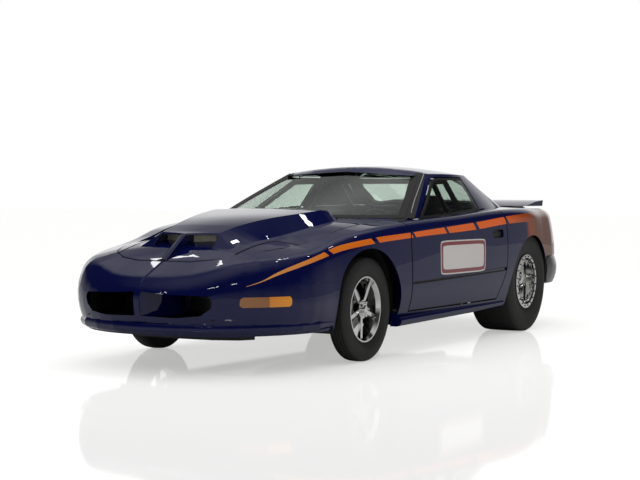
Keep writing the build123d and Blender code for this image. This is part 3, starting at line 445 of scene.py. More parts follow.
rubber = grain(finish("tyre_rubber", Base_Color=(0.022, 0.021, 0.020)), 60, (0.5, 0.75), 0.25)
polished = grain(finish("polished_alloy", Base_Color=(0.86, 0.86, 0.85), Metallic=1.0), 25, (0.07, 0.16), 0.02)
dark_steel = grain(finish("dark_steel", Base_Color=(0.018, 0.018, 0.019), Coat_Weight=0.5), 40, (0.28, 0.45), 0.05)
cast = grain(finish("cast_iron", Base_Color=(0.09, 0.09, 0.095), Metallic=0.6), 90, (0.45, 0.7), 0.4)
alloy = grain(finish("plain_alloy", Base_Color=(0.52, 0.53, 0.54), Metallic=1.0), 70, (0.28, 0.5), 0.2)
black = grain(finish("black_plastic", Base_Color=(0.012, 0.012, 0.012)), 200, (0.4, 0.6), 0.2)
cloth = grain(finish("seat_cloth", Base_Color=(0.016, 0.016, 0.017), Sheen_Weight=0.3), 600, (0.8, 0.95), 0.5)
grey_made = finish("grey_paint", Base_Color=(0.035, 0.036, 0.040), Coat_Weight=0.5, Coat_Roughness=0.1)
grey = grain(grey_made, 15, (0.4, 0.5), 0.0)
brass_made = finish("brass_mesh", Metallic=0.3)
brass = grain(brass_made, 80, (0.4, 0.6), 0.1)
_, tree, shader = brass_made
wires = node(tree, "SeparateXYZ")
tree.links.new(node(tree, "TexCoord").outputs["Object"], wires.inputs["Vector"])
WIRE_PITCH = 0.006
gaps = [sum_of(tree, "PINGPONG", wires.outputs[k], WIRE_PITCH / 2) for k in "YZ"]
hole = sum_of(tree, "MULTIPLY", sum_of(tree, "MINIMUM", *gaps), 2 / WIRE_PITCH)
# The wires are pale brass that darkens a little towards their edges. The gaps between them are painted dark: painted
# shade of the dark pocket seen through the mesh.
weave_with_gap_shade = colour_ramp(tree, hole, [(0.0, (0.80, 0.76, 0.62)), (0.30, (0.72, 0.68, 0.54)), (0.42, (0.10, 0.095, 0.08))])
tree.links.new(weave_with_gap_shade, shader.inputs["Base Color"])
amber_made = finish("amber_lens", Coat_Weight=1.0)
amber = grain(amber_made, 30, (0.12, 0.25), 0.1)
_, tree, shader = amber_made
lens_x = node(tree, "SeparateXYZ")
tree.links.new(node(tree, "TexCoord").outputs["Object"], lens_x.inputs["Vector"])
lens_colours = [
    (0.0, (0.92, 0.34, 0.005)),
    (0.47, (0.85, 0.26, 0.004)),
    (0.5, (0.30, 0.11, 0.02)),
    (1.0, (0.34, 0.13, 0.03)),
]
along_lens = sum_of(tree, "MULTIPLY_ADD", lens_x.outputs["X"], 3.6, -7.2)
tree.links.new(colour_ramp(tree, along_lens, lens_colours), shader.inputs["Base Color"])
red = grain(finish("red_lens", Base_Color=(0.32, 0.008, 0.008), Coat_Weight=1.0), 30, (0.1, 0.2), 0.1)
glass, _, _ = finish(
    "green_glass", Base_Color=(0.80, 0.90, 0.83), Roughness=0.0, IOR=1.45, Transmission_Weight=1.0
)
print("finishes", len(bpy.data.materials))

# %% [markdown]
# A solid comes as loose triangles. It could be shown as it is, but its flat facets would show in the gloss. A copy is
# welded and shaded smooth with its real corners kept sharp, and pressed panels are divided and evened out between their
# corners. The copy stands for the solid and moves with the same body.

# %% Dress the solids
BODY_OF = {name: body for body, names in frame["record"]["behaviour"]["bodies"].items() for name in names}
PRESSED = {"hood", "nose_cover", "tail_cover", "rear_bumper"}
PRESSED |= {f"{panel}_{side}" for panel in ("fender", "quarter", "door") for side in ("left", "right")}


def ease_panel(shape, angle, longest=0.045, rounds=5):
    """Divides long triangles and evens out a panel between its real corners, without drawing it in."""
    for _ in range(5):
        long_edges = [edge for edge in shape.edges if edge.calc_length() > longest]
        if not long_edges:
            break
        bmesh.ops.subdivide_edges(shape, edges=long_edges, cuts=1)
        bmesh.ops.triangulate(shape, faces=[face for face in shape.faces if len(face.verts) > 3])
    corners = set()
    for edge in shape.edges:
        if len(edge.link_faces) != 2 or edge.calc_face_angle() > math.radians(angle):
            corners.update(edge.verts)
    free = [vert for vert in shape.verts if vert not in corners]
    for factor in (0.5, -0.52) * rounds:
        bmesh.ops.smooth_vert(shape, verts=free, factor=factor, use_axis_x=True, use_axis_y=True, use_axis_z=True)


def dress(name, material, angle=24.0):
    """A welded, smooth copy of a solid in this finish, in the solid's place."""
    shape = bmesh.new()
    shape.from_mesh(nodes[name].data)
    bmesh.ops.remove_doubles(shape, verts=shape.verts, dist=2e-5)
    bmesh.ops.dissolve_degenerate(shape, edges=shape.edges, dist=1e-5)
    if name in PRESSED:
        ease_panel(shape, angle)
    for face in shape.faces:
        face.smooth = True
        face.material_index = 0
    for edge in shape.edges:
        edge.smooth = len(edge.link_faces) == 2 and edge.calc_face_angle() < math.radians(angle)
    mesh = bpy.data.meshes.new(name + "_dressed")
    shape.to_mesh(mesh)
    shape.free()
    mesh.materials.append(material)
    piece = bpy.data.objects.new(name + "_dressed", mesh)
    bpy.context.scene.collection.objects.link(piece)
    even = piece.modifiers.new("even_shading", "WEIGHTED_NORMAL")
    even.mode = "FACE_AREA_WITH_ANGLE"
    even.keep_sharp = True
    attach(piece, BODY_OF[name])
    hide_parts(name)
    return piece


SLOT_OF = {row["node"]: row["material_slot"] for row in frame["record"]["subparts"]}
FINISH_OF_SLOT = {
    "body_paint": paint,
    "bumper_grey": grey,
    "window_glass": glass,
    "amber_lens": amber,
    "red_lens": red,
    "mesh_brass": brass,
    "black_plastic": black,
    "seat_cloth": cloth,
    "black_steel": dark_steel,
    "cast_block": cast,
    "alloy": alloy,
    "polished_wheel": polished,
    "tyre_rubber": rubber,
    "black_rubber": black,
}
dressed = {name: dress(name, FINISH_OF_SLOT[SLOT_OF[name]]) for name in nodes}
print("dressed", len(dressed))

# %% [markdown]
# The small pieces come from a few shapes: rounded boxes, rods, turned profiles and rings of bolts. Each could be its own
# object, but there would be hundreds, so several shapes share one mesh, which becomes a piece that rides on a body.


# %% Shapes for the small pieces
def add_box(shape, low, high, round_by=0.0, segments=2):
    """A box between two corners, with its edges rounded."""
    low, high = Vector(low), Vector(high)
    corners = bmesh.ops.create_cube(shape, size=1.0)["verts"]
    bmesh.ops.scale(shape, verts=corners, vec=high - low)
    bmesh.ops.translate(shape, verts=corners, vec=(low + high) / 2)
    if round_by:
        edges = list({edge for corner in corners for edge in corner.link_edges})
        bmesh.ops.bevel(
            shape,
            geom=edges,
            offset=round_by,
            offset_type="OFFSET",
            affect="EDGES",
            segments=segments,
            profile=0.5,
            material=-1,
        )


def add_rod(shape, start, end, radius, far_radius=None, sides=16):
    """A round bar, or a cone when the far radius differs."""
    start, end = Vector(start), Vector(end)
    along = end - start
    turn = along.to_track_quat("Z", "Y").to_matrix().to_4x4()
    bmesh.ops.create_cone(
        shape,
        cap_ends=True,
        segments=sides,
        radius1=radius,
        radius2=radius if far_radius is None else far_radius,
        depth=along.length,
        matrix=Matrix.Translation((start + end) / 2) @ turn,
    )


def add_pipe(shape, route, radius, sides=14):
    """Round bars along a route, with a ball at each bend."""
    for start, end in zip(route, route[1:]):
        add_rod(shape, start, end, radius, sides=sides)
    for bend in route[1:-1]:
        bmesh.ops.create_uvsphere(
            shape, u_segments=sides, v_segments=8, radius=radius * 1.01, matrix=Matrix.Translation(bend)
        )


def add_turned(shape, profile, axle, side=1, steps=72):
    """A profile of (distance out, radius) spun about a wheel's axle, given by its point on the centre plane."""
    ring = [shape.verts.new((axle.x, side * y, axle.z + radius)) for y, radius in profile]
    lines = [shape.edges.new(pair) for pair in zip(ring, ring[1:])]
    bmesh.ops.spin(
        shape,
        geom=ring + lines,
        cent=axle,
        axis=(0, 1, 0),
        dvec=(0, 0, 0),
        angle=2 * math.pi,
        steps=steps,
        use_merge=True,
    )


def add_bolts(shape, axle, side, face_y, circle, count, radius, height, sides=6):
    """Bolt heads on a circle round an axle, on a face at face_y."""
    for k in range(count):
        angle = 2 * math.pi * (k + 0.5) / count
        spot = Vector((axle.x + circle * math.cos(angle), side * face_y, axle.z + circle * math.sin(angle)))
        add_rod(shape, spot, spot + Vector((0, side * height, 0)), radius, radius * 0.86, sides=sides)


def make_piece(name, shape, material, body, angle=32.0):
    """Turns the collected shapes into one piece that rides on a body."""
    bmesh.ops.remove_doubles(shape, verts=shape.verts, dist=1e-6)
    bmesh.ops.dissolve_degenerate(shape, edges=shape.edges, dist=1e-7)
    bmesh.ops.recalc_face_normals(shape, faces=shape.faces)
    for face in shape.faces:
        face.smooth = True
    for edge in shape.edges:
        edge.smooth = len(edge.link_faces) == 2 and edge.calc_face_angle() < math.radians(angle)
    mesh = bpy.data.meshes.new(name)
    shape.to_mesh(mesh)
    shape.free()
    mesh.materials.append(material)
    made = bpy.data.objects.new(name, mesh)
    bpy.context.scene.collection.objects.link(made)
    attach(made, body)
    return made


def give_wall(piece, thick):
    """Gives a thin sheet a back face and an edge."""
    backing = piece.modifiers.new("wall", "SOLIDIFY")
    backing.thickness = thick
    backing.offset = -1.0


SIDES = (("left", 1), ("right", -1))


def middle_of(name):
    """The middle of a solid's box and half its size."""
    low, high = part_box(name)
    return (Vector(low) + Vector(high)) / 2, (Vector(high) - Vector(low)) / 2


print("front wheel centre", [round(v, 3) for v in middle_of("front_rim_left")[0]])

# %% [markdown]
# The front tyres are narrow, with four grooves round the tread. The rear ones are slicks: a smooth tread with a fine
# line near each edge, and soft side walls. Grooves could be a bump in the material, but they show at the edge of the
# tyre, so each is spun from a profile: half a tyre, from the middle of the tread to the bead.

# %% Tyres
FRONT_HALF = [
    (0.0, 0.330),
    (0.009, 0.3298),
    (0.0098, 0.3245),
    (0.0142, 0.3245),
    (0.015, 0.3295),
    (0.030, 0.3285),
    (0.0308, 0.3235),
    (0.0352, 0.3235),
    (0.036, 0.328),
    (0.046, 0.3262),
    (0.052, 0.3225),
    (0.0555, 0.316),
    (0.0572, 0.314),
    (0.0615, 0.300),
    (0.0645, 0.282),
    (0.065, 0.268),
    (0.0638, 0.254),
    (0.0618, 0.2515),
    (0.0612, 0.248),
    (0.0575, 0.236),
    (0.050, 0.222),
    (0.044, 0.2135),
    (0.040, 0.2092),
]
REAR_HALF = [
    (0.0, 0.389),
    (0.06, 0.3888),
    (0.12, 0.3874),
    (0.142, 0.3858),
    (0.1432, 0.3838),
    (0.1455, 0.3836),
    (0.1468, 0.3848),
    (0.156, 0.3795),
    (0.163, 0.371),
    (0.168, 0.358),
    (0.171, 0.340),
    (0.172, 0.320),
    (0.1716, 0.302),
    (0.1700, 0.2995),
    (0.1694, 0.295),
    (0.167, 0.272),
    (0.162, 0.248),
    (0.155, 0.228),
    (0.149, 0.214),
    (0.1452, 0.2092),
]
for end, half in (("front", FRONT_HALF), ("rear", REAR_HALF)):
    profile = [(-y, radius) for y, radius in reversed(half)] + half[1:]
    profile.append(profile[0])
    for side, sign in SIDES:
        name = f"{end}_tyre_{side}"
        hub, _ = middle_of(name)
        shape = bmesh.new()
        axle = Vector((hub.x, 0, hub.z))
        add_turned(shape, [(abs(hub.y) + y, radius) for y, radius in profile], axle, sign, steps=112)
        tyre = make_piece(f"{end}_{side}_tyre_skin", shape, rubber, BODY_OF[name], angle=26)
        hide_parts(name)
        bpy.data.objects.remove(dressed.pop(name))
print("tyres", 4)

# %% [markdown]
# Each wheel has nuts, a centre cap and a brake, and the rear rims a ring of small bolts that clamps the bead. They could
# be cut from the rim's own mesh, but turned profiles and rings of bolts set round the same axle are simpler to change.

# %% Wheel hardware and brakes
for side, sign in SIDES:
    hub, _ = middle_of(f"front_rim_{side}")
    axle = Vector((hub.x, 0, hub.z))
    out = abs(hub.y)
    shape = bmesh.new()
    add_bolts(shape, axle, sign, out + 0.026, 0.044, 5, 0.0095, 0.020)
    cap = [(0.020, 0.0), (0.020, 0.027), (0.044, 0.026), (0.050, 0.020), (0.051, 0.0)]
    add_turned(shape, [(out + y, radius) for y, radius in cap], axle, sign, 40)
    make_piece(f"front_{side}_hub_cap", shape, polished, f"front_wheel_{side}")
    shape = bmesh.new()
    add_turned(shape, [(0.698, 0.082), (0.698, 0.138), (0.710, 0.138), (0.710, 0.082), (0.698, 0.082)], axle, sign)
    make_piece(f"front_{side}_brake_disc", shape, alloy, f"front_wheel_{side}")
    shape = bmesh.new()
    low, high = (hub.x - 0.158, 0.684, hub.z - 0.055), (hub.x - 0.088, 0.722, hub.z + 0.055)
    add_box(shape, (low[0], sign * low[1], low[2]), (high[0], sign * high[1], high[2]), 0.008)
    make_piece(f"front_{side}_caliper", shape, dark_steel, f"knuckle_{side}")
    hub, half = middle_of(f"rear_rim_{side}")
    axle = Vector((hub.x, 0, hub.z))
    face = abs(hub.y) + half.y
    shape = bmesh.new()
    add_bolts(shape, axle, sign, face, 0.191, 20, 0.0062, 0.005)
    make_piece(f"rear_{side}_clamp_bolts", shape, dark_steel, f"rear_wheel_{side}")
    shape = bmesh.new()
    add_bolts(shape, axle, sign, face - 0.076, 0.046, 5, 0.0105, 0.024)
    cap = [(0.080, 0.0), (0.080, 0.029), (0.050, 0.028), (0.042, 0.021), (0.041, 0.0)]
    add_turned(shape, [(face - y, radius) for y, radius in cap], axle, sign, 40)
    make_piece(f"rear_{side}_hub_cap", shape, polished, f"rear_wheel_{side}")
    shape = bmesh.new()
    add_turned(shape, [(0.646, 0.082), (0.646, 0.146), (0.658, 0.146), (0.658, 0.082), (0.646, 0.082)], axle, sign)
    make_piece(f"rear_{side}_brake_disc", shape, alloy, f"rear_wheel_{side}")
print("wheels dressed", 4)

# %% [markdown]
# The glass is bonded in, so a band of black runs round each pane. Where two panels meet, a black strip along the edge
# is painted shade, so that the gap shows as a dark line. Both could be painted by a mask, but they follow an edge of
# the mesh, so a strip is cut from the piece's outer skin: inset from the edge, with the middle taken away. The same cut
# later frames the tail lamps.


# %% Black bands, and painted shade along panel gaps
def edge_band(name, label, outward, width, lift=0.0012):
    """A black band along the edge of a piece's face that looks along outward."""
    outward = Vector(outward).normalized()
    shape = bmesh.new()
    shape.from_mesh(dressed[name].data)
    hidden = [face for face in shape.faces if face.normal.dot(outward) < 0.55]
    bmesh.ops.delete(shape, geom=hidden, context="FACES")
    faces = shape.faces[:]
    rim = bmesh.ops.inset_region(
        shape, faces=faces, use_boundary=True, use_even_offset=False, thickness=width, depth=0.0
    )
    kept = set(rim["faces"])
    bmesh.ops.delete(shape, geom=[face for face in shape.faces if face not in kept], context="FACES")
    shape.normal_update()
    for vert in shape.verts:
        vert.co += vert.normal * lift
    strip = make_piece(label, shape, black, BODY_OF[name])
    give_wall(strip, 0.0008)


# Along the door, hood and lamp lid edges the black band is painted shade: it widens the dark line of the panel gap,
# which is too narrow to show on its own.
GAP_SHADE_WIDTH = 0.0045
GAP_SHADE_LIFT = 0.0004
edge_band("windshield", "windshield_band", (0.4, 0, 0.9), 0.05)
edge_band("hatch_glass", "hatch_glass_band", (-0.35, 0, 0.93), 0.030)
for side, sign in SIDES:
    edge_band(f"door_glass_{side}", f"door_glass_{side}_band", (0, sign, 0.45), 0.020)
    edge_band(f"door_{side}", f"door_{side}_gap_shade", (0, sign, 0), GAP_SHADE_WIDTH, GAP_SHADE_LIFT)
edge_band("hood", "hood_seam", (0.1, 0, 1), GAP_SHADE_WIDTH, GAP_SHADE_LIFT)
edge_band("headlamp_lids", "headlamp_lid_gap_shades", (0.3, 0, 1), GAP_SHADE_WIDTH, GAP_SHADE_LIFT)
print("bands", 8)

# %% [markdown]
# The door carries a blank sign: a white panel in a red frame with a thin white edge. A flat plate would stand off the
# door, so each layer is a fine grid laid on the door's own surface by casting rays at it, and follows its curve.


# %% Signs on the doors
def skin_of(name):
    """A search tree over a dressed solid's surface."""
    shape = bmesh.new()
    shape.from_mesh(dressed[name].data)
    tree = BVHTree.FromBMesh(shape)
    shape.free()
    return tree


def laid_patch(shape, skin, sign, x_span, z_span, lift, squareness=0.03):
    """A grid with rounded corners laid on a side panel, held off it by lift."""
    grid = bmesh.ops.create_grid(shape, x_segments=28, y_segments=12, size=1.0)["verts"]
    for vert in grid:
        u, v = vert.co.x, vert.co.y
        x = (x_span[0] + x_span[1]) / 2 + (x_span[1] - x_span[0]) / 2 * u * (1 - squareness * abs(v) ** 9)
        z = (z_span[0] + z_span[1]) / 2 + (z_span[1] - z_span[0]) / 2 * v * (1 - 2 * squareness * abs(u) ** 9)
        spot, _, _, _ = skin.ray_cast(Vector((x, sign * 1.5, z)), Vector((0, -sign, 0)))
        vert.co = spot + Vector((0, sign * lift, 0))


sign_white = grain(finish("sign_white", Base_Color=(0.80, 0.76, 0.74), Coat_Weight=0.6), 50, (0.3, 0.42), 0.02)
sign_red = grain(finish("sign_red", Base_Color=(0.27, 0.028, 0.035), Coat_Weight=0.6), 50, (0.3, 0.42), 0.02)
SIGN_X = (-0.498, 0.221)
SIGN_Z = (0.507, 0.741)
# Each layer: inset from the sign's edge, lift off the door, finish
SIGN_LAYERS = [(0.0, 0.0008, sign_white), (0.009, 0.0014, sign_red), (0.034, 0.002, sign_white)]
for side, sign in SIDES:
    skin = skin_of(f"door_{side}")
    for layer, (inset, lift, material) in enumerate(SIGN_LAYERS):
        shape = bmesh.new()
        x_span = (SIGN_X[0] + inset, SIGN_X[1] - inset)
        z_span = (SIGN_Z[0] + inset, SIGN_Z[1] - inset)
        laid_patch(shape, skin, sign, x_span, z_span, lift)
        give_wall(make_piece(f"door_sign_{side}_{layer}", shape, material, f"door_{side}"), 0.0004)
print("sign layers", 6)

# %% [markdown]
# Dark pieces close what the eye would see through: ducts behind the nose intakes, liners over the front wheels, splash
# panels behind the rear ones and a flap in each door's handle recess. A black patch would do from one side only, so they
# are real sheets, and the liners are spun about the wheel's axle to leave room for steering.

# %% Ducts, liners and handles
shape = bmesh.new()
for low, high in (
    ((2.012, -0.45, 0.488), (2.36, 0.45, 0.492)),
    ((2.012, -0.45, 0.322), (2.36, 0.45, 0.326)),
    ((2.34, -0.34, 0.319), (2.405, 0.34, 0.323)),
    ((2.40, -0.20, 0.317), (2.44, 0.20, 0.321)),
    ((2.012, 0.446, 0.324), (2.33, 0.45, 0.49)),
    ((2.012, -0.45, 0.324), (2.33, -0.446, 0.49)),
):
    add_box(shape, low, high)
make_piece("intake_ducts", shape, black, "chassis")

LINER_R = 0.412
LINER_TURN = math.radians(216)
for side, sign in SIDES:
    hub, _ = middle_of(f"front_rim_{side}")
    shape = bmesh.new()
    section = ((0.475, 0.15), (0.475, LINER_R - 0.03), (0.505, LINER_R), (0.80, LINER_R))
    start = [shape.verts.new((hub.x + radius, sign * y, hub.z)) for y, radius in section]
    lines = [shape.edges.new(pair) for pair in zip(start, start[1:])]
    back_turn = Matrix.Rotation(math.radians(18), 3, "Y")
    bmesh.ops.rotate(shape, verts=start, cent=hub, matrix=back_turn)
    bmesh.ops.spin(shape, geom=start + lines, cent=hub, axis=(0, -1, 0), dvec=(0, 0, 0), angle=LINER_TURN, steps=40)
    bmesh.ops.recalc_face_normals(shape, faces=shape.faces)
    bmesh.ops.solidify(shape, geom=shape.faces[:], thickness=0.003)
    make_piece(f"front_{side}_wheel_liner", shape, black, "chassis")
    shape = bmesh.new()
    low, high = (-0.812, 0.9085, 0.749), (-0.650, 0.918, 0.786)
    add_box(shape, (low[0], sign * low[1], low[2]), (high[0], sign * high[1], high[2]), 0.003)
    make_piece(f"door_{side}_handle", shape, black, f"door_{side}")
    shape = bmesh.new()
    add_box(shape, (-1.838, sign * 0.56, 0.362), (-1.812, sign * 0.893, 0.592), 0.006)
    make_piece(f"rear_{side}_splash_panel", shape, black, "chassis")
print("dark pieces", 7)

# %% [markdown]
# Such tail lamps have dark ribs that divide each lens into small panes, and a black frame. The lens could be cut into
# panes, but ribs stand proud of it, so thin rods are laid on the lens by casting rays at it from behind.

# %% Tail lamp ribs and frames
edge_band("tail_lamps", "tail_lamp_frames", (-1, 0, 0), 0.009, 0.0012)
skin = skin_of("tail_lamps")
shape = bmesh.new()
LAMP_Y = [0.165 + 0.0445 * k for k in range(13)]
LAMP_Z = [0.666 + 0.008 * k for k in range(17)]
for side, sign in SIDES:
    lines = [[(sign * y, z) for y in LAMP_Y] for z in (0.706, 0.753)]
    lines += [[(sign * y, z) for z in LAMP_Z] for y in (0.265, 0.375, 0.485, 0.595)]
    for line in lines:
        hits = [skin.ray_cast(Vector((-3, y, z)), Vector((1, 0, 0)))[0] for y, z in line]
        add_pipe(shape, [hit for hit in hits if hit], 0.0024, sides=8)
make_piece("tail_lamp_ribs", shape, black, "chassis")
print("lamp ribs", 12)

# %% [markdown]
# The windshield pillars are black in front, like the edge of the glass, with a bright drip rail along their outer edge.
# Each sill ends below in a rolled skirt. A curve with a bevel could draw both, but here the rail's points are first
# snapped to the pillar and the skirt is one section extruded in steps, because it runs slightly lower at the front.

# %% Pillars, drip rails and sill skirts
frame_mesh = dressed["cabin_frame"].data
frame_mesh.materials.append(black)
for face in frame_mesh.polygons:
    spot, normal = face.center, face.normal
    if normal.x > 0.2 and 0.5 < abs(spot.y) and 0.86 < spot.z < 1.205 and -0.26 < spot.x < 0.5:
        face.material_index = 1
RAIL = [
    (0.392, 0.752, 0.897),
    (0.30, 0.722, 0.962),
    (0.182, 0.684, 1.024),
    (0.066, 0.650, 1.084),
    (-0.09, 0.602, 1.153),
    (-0.235, 0.556, 1.205),
]
# Section of the skirt: y, z in metres
SKIRT = [
    (0.862, 0.268),
    (0.878, 0.262),
    (0.885, 0.248),
    (0.882, 0.230),
    (0.868, 0.214),
    (0.846, 0.206),
    (0.80, 0.206),
    (0.80, 0.235),
]
SKIRT_X = (0.783, -0.955)
SKIRT_STEPS = 12
SKIRT_DROP = 0.012
SKIRT_RISE = 0.0015
pillar_skin = skin_of("cabin_frame")
for side, sign in SIDES:
    shape = bmesh.new()
    held = [pillar_skin.find_nearest(Vector((x, sign * y, z))) for x, y, z in RAIL]
    add_pipe(shape, [spot + normal * 0.001 for spot, normal, _, _ in held], 0.0045, sides=10)
    make_piece(f"drip_rail_{side}", shape, polished, "chassis")
    shape = bmesh.new()
    ring = [shape.verts.new((SKIRT_X[0], sign * y, z - SKIRT_DROP)) for y, z in SKIRT]
    face = shape.faces.new(ring)
    step = ((SKIRT_X[1] - SKIRT_X[0]) / SKIRT_STEPS, 0, SKIRT_RISE)
    for k in range(SKIRT_STEPS):
        grown = bmesh.ops.extrude_face_region(shape, geom=[face])["geom"]
        if k:
            # The first face closes the end; later ones would be left inside
            bmesh.ops.delete(shape, geom=[face], context="FACES_ONLY")
        face = next(item for item in grown if isinstance(item, bmesh.types.BMFace))
        bmesh.ops.translate(shape, verts=face.verts, vec=step)
    make_piece(f"sill_skirt_{side}", shape, paint, "chassis")
print("trim pieces", 4)

# %% [markdown]
# The seat is a hard shell with loose pads and belts. A cloth simulation could fill the pads, but they are thin and lie
# flat, so each is a closed, crowned form: full in the middle, thin at its edges and drawn in along its sewn channels.


# %% Driver's seat, pads and belts
def add_pad(shape, centre, along, across, size, channels=0, steps=36):
    """A crowned cushion. Along and across are its directions, size its length, width and thickness."""
    along, across = Vector(along).normalized(), Vector(across).normalized()
    up = along.cross(across)
    length, width, thick = size
    sheets = []
    for face in (1, -1):
        grid = bmesh.ops.create_grid(shape, x_segments=steps, y_segments=steps, size=1.0)["verts"]
        for vert in grid:
            u, v = vert.co.x, vert.co.y
            crown = ((1 - abs(u) ** 4) * (1 - abs(v) ** 4)) ** 0.5
            sewn = 1
            if channels and face > 0:
                sewn = 1 - 0.28 * abs(math.cos(0.5 * math.pi * channels * (u + 1))) ** 24
            waist = 1 - 0.05 * (1 - v * v) * abs(u) ** 6
            flank = 1 - 0.04 * (1 - u * u) * abs(v) ** 6
            flat = along * (u * length / 2 * waist) + across * (v * width / 2 * flank)
            height = thick * (0.85 * crown * sewn if face > 0 else -0.15 * crown)
            vert.co = Vector(centre) + flat + up * height
        sheets += grid
    bmesh.ops.remove_doubles(shape, verts=sheets, dist=1e-5)


SEAT_Y = 0.395
PADS = [
    ("seat_base_pad", (-0.195, SEAT_Y, 0.388), (-1, 0, -0.12), (0, -1, 0), (0.40, 0.39, 0.055), 4),
    ("seat_back_pad", (-0.512, SEAT_Y, 0.640), (0.262, 0, -0.965), (0, -1, 0), (0.40, 0.38, 0.050), 5),
]
for name, centre, along, across, size, channels in PADS:
    shape = bmesh.new()
    add_pad(shape, centre, along, across, size, channels)
    pad = make_piece(name, shape, cloth, "chassis", angle=60)
shape = bmesh.new()
bmesh.ops.create_uvsphere(shape, u_segments=36, v_segments=20, radius=1.0)
bmesh.ops.scale(shape, verts=shape.verts, vec=(0.045, 0.118, 0.112))
bmesh.ops.translate(shape, verts=shape.verts, vec=(-0.548, SEAT_Y, 0.945))
headrest = make_piece("seat_head_pad", shape, cloth, "chassis", angle=60)


def add_strap(shape, route, wide, across, thick=0.003):
    """A flat strap along a route; across is the direction of its width."""
    across = Vector(across).normalized() * wide / 2
    loops = []
    for k, spot in enumerate(route):
        ahead = Vector(route[min(k + 1, len(route) - 1)]) - Vector(route[max(k - 1, 0)])
        lift = ahead.cross(across).normalized() * thick / 2
        corners = ((-1, -1), (1, -1), (1, 1), (-1, 1))
        ring = [shape.verts.new(Vector(spot) + e * across + f * lift) for e, f in corners]
        loops.append([shape.edges.new((ring[j], ring[j - 1])) for j in range(4)])
    for a, b in zip(loops, loops[1:]):
        bmesh.ops.bridge_loops(shape, edges=a + b)
    bmesh.ops.holes_fill(shape, edges=loops[0] + loops[-1], sides=4)


belt = grain(finish("belt_web", Base_Color=(0.022, 0.022, 0.026), Sheen_Weight=0.2), 900, (0.6, 0.8), 0.6)
shape = bmesh.new()
for y in (SEAT_Y - 0.085, SEAT_Y + 0.085):
    inner = SEAT_Y + 0.45 * (y - SEAT_Y)
    shoulder = [(-0.66, y, 0.862), (-0.61, y, 0.882), (-0.575, y, 0.874), (-0.515, y, 0.80)]
    chest = [(-0.45, y, 0.66), (-0.40, inner, 0.50), (-0.33, inner, 0.456)]
    add_strap(shape, shoulder + chest, 0.062, (0, 1, 0))
for sign in (1, -1):
    lap = [(-0.44, 0.195, 0.41), (-0.40, 0.16, 0.45), (-0.33, 0.02, 0.458)]
    add_strap(shape, [(x, SEAT_Y + sign * y, z) for x, y, z in lap], 0.055, (0.8, 0, 0.25))
make_piece("seat_belts", shape, belt, "chassis")
shape = bmesh.new()
add_box(shape, (-0.365, SEAT_Y - 0.04, 0.452), (-0.295, SEAT_Y + 0.04, 0.470), 0.006)
make_piece("belt_buckle", shape, polished, "chassis")
print("seat pieces", 5)

# %% [markdown]
# The cockpit has round gauges with plain faces, a tall shift lever, three pedals and a small switch panel. They are seen
# through dark glass or an open door, so rods and rounded boxes are enough, and a texture would look flat there.

# %% Cockpit
gauge_face = grain(finish("gauge_face", Base_Color=(0.62, 0.62, 0.58)), 40, (0.4, 0.5), 0.0)
# Each gauge: y, z and radius in metres
GAUGES = [
    (SEAT_Y, 0.800, 0.060),
    (SEAT_Y - 0.135, 0.765, 0.034),
    (SEAT_Y + 0.135, 0.765, 0.034),
    (0.13, 0.765, 0.034),
]
facing = Vector((-1, 0, 0.12)).normalized()
shape = bmesh.new()
faces = bmesh.new()
needles = bmesh.new()
for y, z, radius in GAUGES:
    spot = Vector((0.372, y, z))
    add_rod(shape, spot, spot + facing * 0.030, radius, radius * 0.97, sides=40)
    add_rod(faces, spot + facing * 0.030, spot + facing * 0.0308, radius * 0.86, sides=40)
    tip = spot + facing * 0.032 + Vector((0, -0.6 * radius, 0.35 * radius))
    add_rod(needles, spot + facing * 0.032, tip, 0.0022, 0.0008, sides=8)
make_piece("gauge_cups", shape, dark_steel, "chassis")
make_piece("gauge_faces", faces, gauge_face, "chassis")
make_piece("gauge_needles", needles, red, "chassis")
shape = bmesh.new()
add_box(shape, (0.355, -0.16, 0.705), (0.372, 0.06, 0.765), 0.004)
for k in range(6):
    spot = Vector((0.357, -0.14 + 0.036 * k, 0.735))
    add_rod(shape, spot, spot + facing * 0.030, 0.004, 0.005, sides=10)
make_piece("switch_panel", shape, alloy, "chassis")
shape = bmesh.new()
add_box(shape, (-0.11, 0.02, 0.448), (0.13, 0.12, 0.520), 0.012)
add_rod(shape, (0.01, 0.07, 0.52), (-0.05, 0.09, 0.70), 0.008)
knob = Matrix.Translation((-0.052, 0.091, 0.712))
bmesh.ops.create_uvsphere(shape, u_segments=20, v_segments=12, radius=0.026, matrix=knob)
make_piece("shift_lever", shape, dark_steel, "chassis")
shape = bmesh.new()
for y in (SEAT_Y - 0.11, SEAT_Y, SEAT_Y + 0.11):
    add_rod(shape, (0.54, y, 0.56), (0.47, y, 0.36), 0.008, sides=10)
    add_box(shape, (0.455, y - 0.032, 0.315), (0.468, y + 0.032, 0.395), 0.004)
make_piece("pedals", shape, alloy, "chassis")
print("cockpit pieces", 6)

# %% [markdown]
# Under the hood the plain engine block gets its valve covers, intake, two carburettors, pulleys and pipes, and a pair
# of exhausts runs on under the floor. A pipe could be a curve with a bevel. Rods with a ball at each bend are simpler
# and have few faces, which is enough for pieces that are seen from a distance.

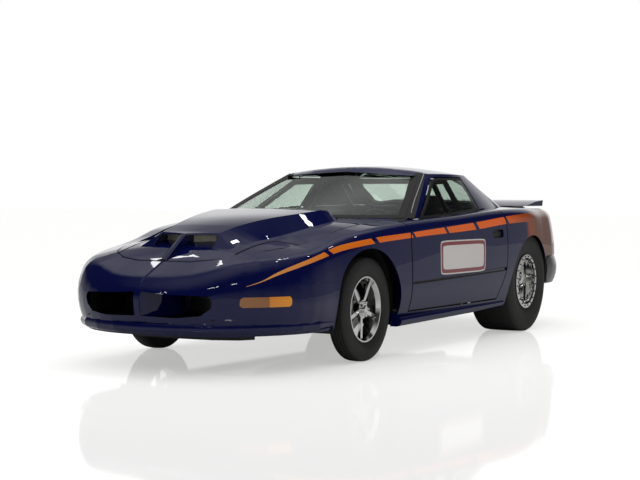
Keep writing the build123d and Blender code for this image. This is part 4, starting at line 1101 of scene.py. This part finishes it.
# %% Engine bay and exhaust
ENGINE_X = (0.72, 1.20)
shape = bmesh.new()
for sign in (1, -1):
    add_box(shape, (ENGINE_X[0], sign * 0.165, 0.625), (ENGINE_X[1], sign * 0.285, 0.700), 0.016, 3)
    for k in range(7):
        y = sign * (0.185 + 0.0135 * k)
        add_box(shape, (ENGINE_X[0] + 0.03, y - 0.002, 0.69), (ENGINE_X[1] - 0.03, y + 0.002, 0.707))
make_piece("valve_covers", shape, polished, "chassis")
shape = bmesh.new()
for x in (0.86, 1.07):
    add_box(shape, (x - 0.075, -0.075, 0.768), (x + 0.075, 0.075, 0.815), 0.012)
    for dx in (-0.035, 0.035):
        for y in (-0.035, 0.035):
            add_rod(shape, (x + dx, y, 0.80), (x + dx, y, 0.845), 0.030, 0.033, sides=24)
add_box(shape, (0.76, -0.14, 0.735), (1.17, 0.14, 0.770), 0.012)
make_piece("carburettors", shape, alloy, "chassis")
shape = bmesh.new()
for y, z, radius in ((0.0, 0.33, 0.085), (0.0, 0.52, 0.075), (-0.19, 0.56, 0.045)):
    add_rod(shape, (1.249, y, z), (1.285, y, z), radius, sides=36)
    add_rod(shape, (1.285, y, z), (1.295, y, z), radius * 0.5, sides=24)
make_piece("pulleys", shape, dark_steel, "chassis")
shape = bmesh.new()
for sign in (1, -1):
    for k in range(4):
        x = 0.78 + 0.12 * k
        port, bend = (x, sign * 0.298, 0.54), (x - 0.01, sign * 0.350, 0.50)
        down, collector = (0.80 + 0.05 * k, sign * 0.345, 0.36), (0.70, sign * 0.30, 0.262)
        add_pipe(shape, [port, bend, down, collector], 0.021)
    add_rod(shape, (0.72, sign * 0.30, 0.262), (0.56, sign * 0.30, 0.200), 0.058, 0.044, sides=24)
    front_run = [(0.56, sign * 0.30, 0.198), (0.30, sign * 0.30, 0.185), (-0.20, sign * 0.30, 0.185)]
    add_pipe(shape, front_run, 0.040, sides=20)
    add_rod(shape, (-0.20, sign * 0.30, 0.180), (-0.62, sign * 0.30, 0.180), 0.046, sides=28)
    rear_run = [(-0.62, sign * 0.30, 0.180), (-0.78, sign * 0.32, 0.180), (-0.90, sign * 0.42, 0.172)]
    add_pipe(shape, rear_run, 0.038, sides=20)
make_piece("exhaust_pipes", shape, alloy, "chassis")
print("engine pieces", 4)
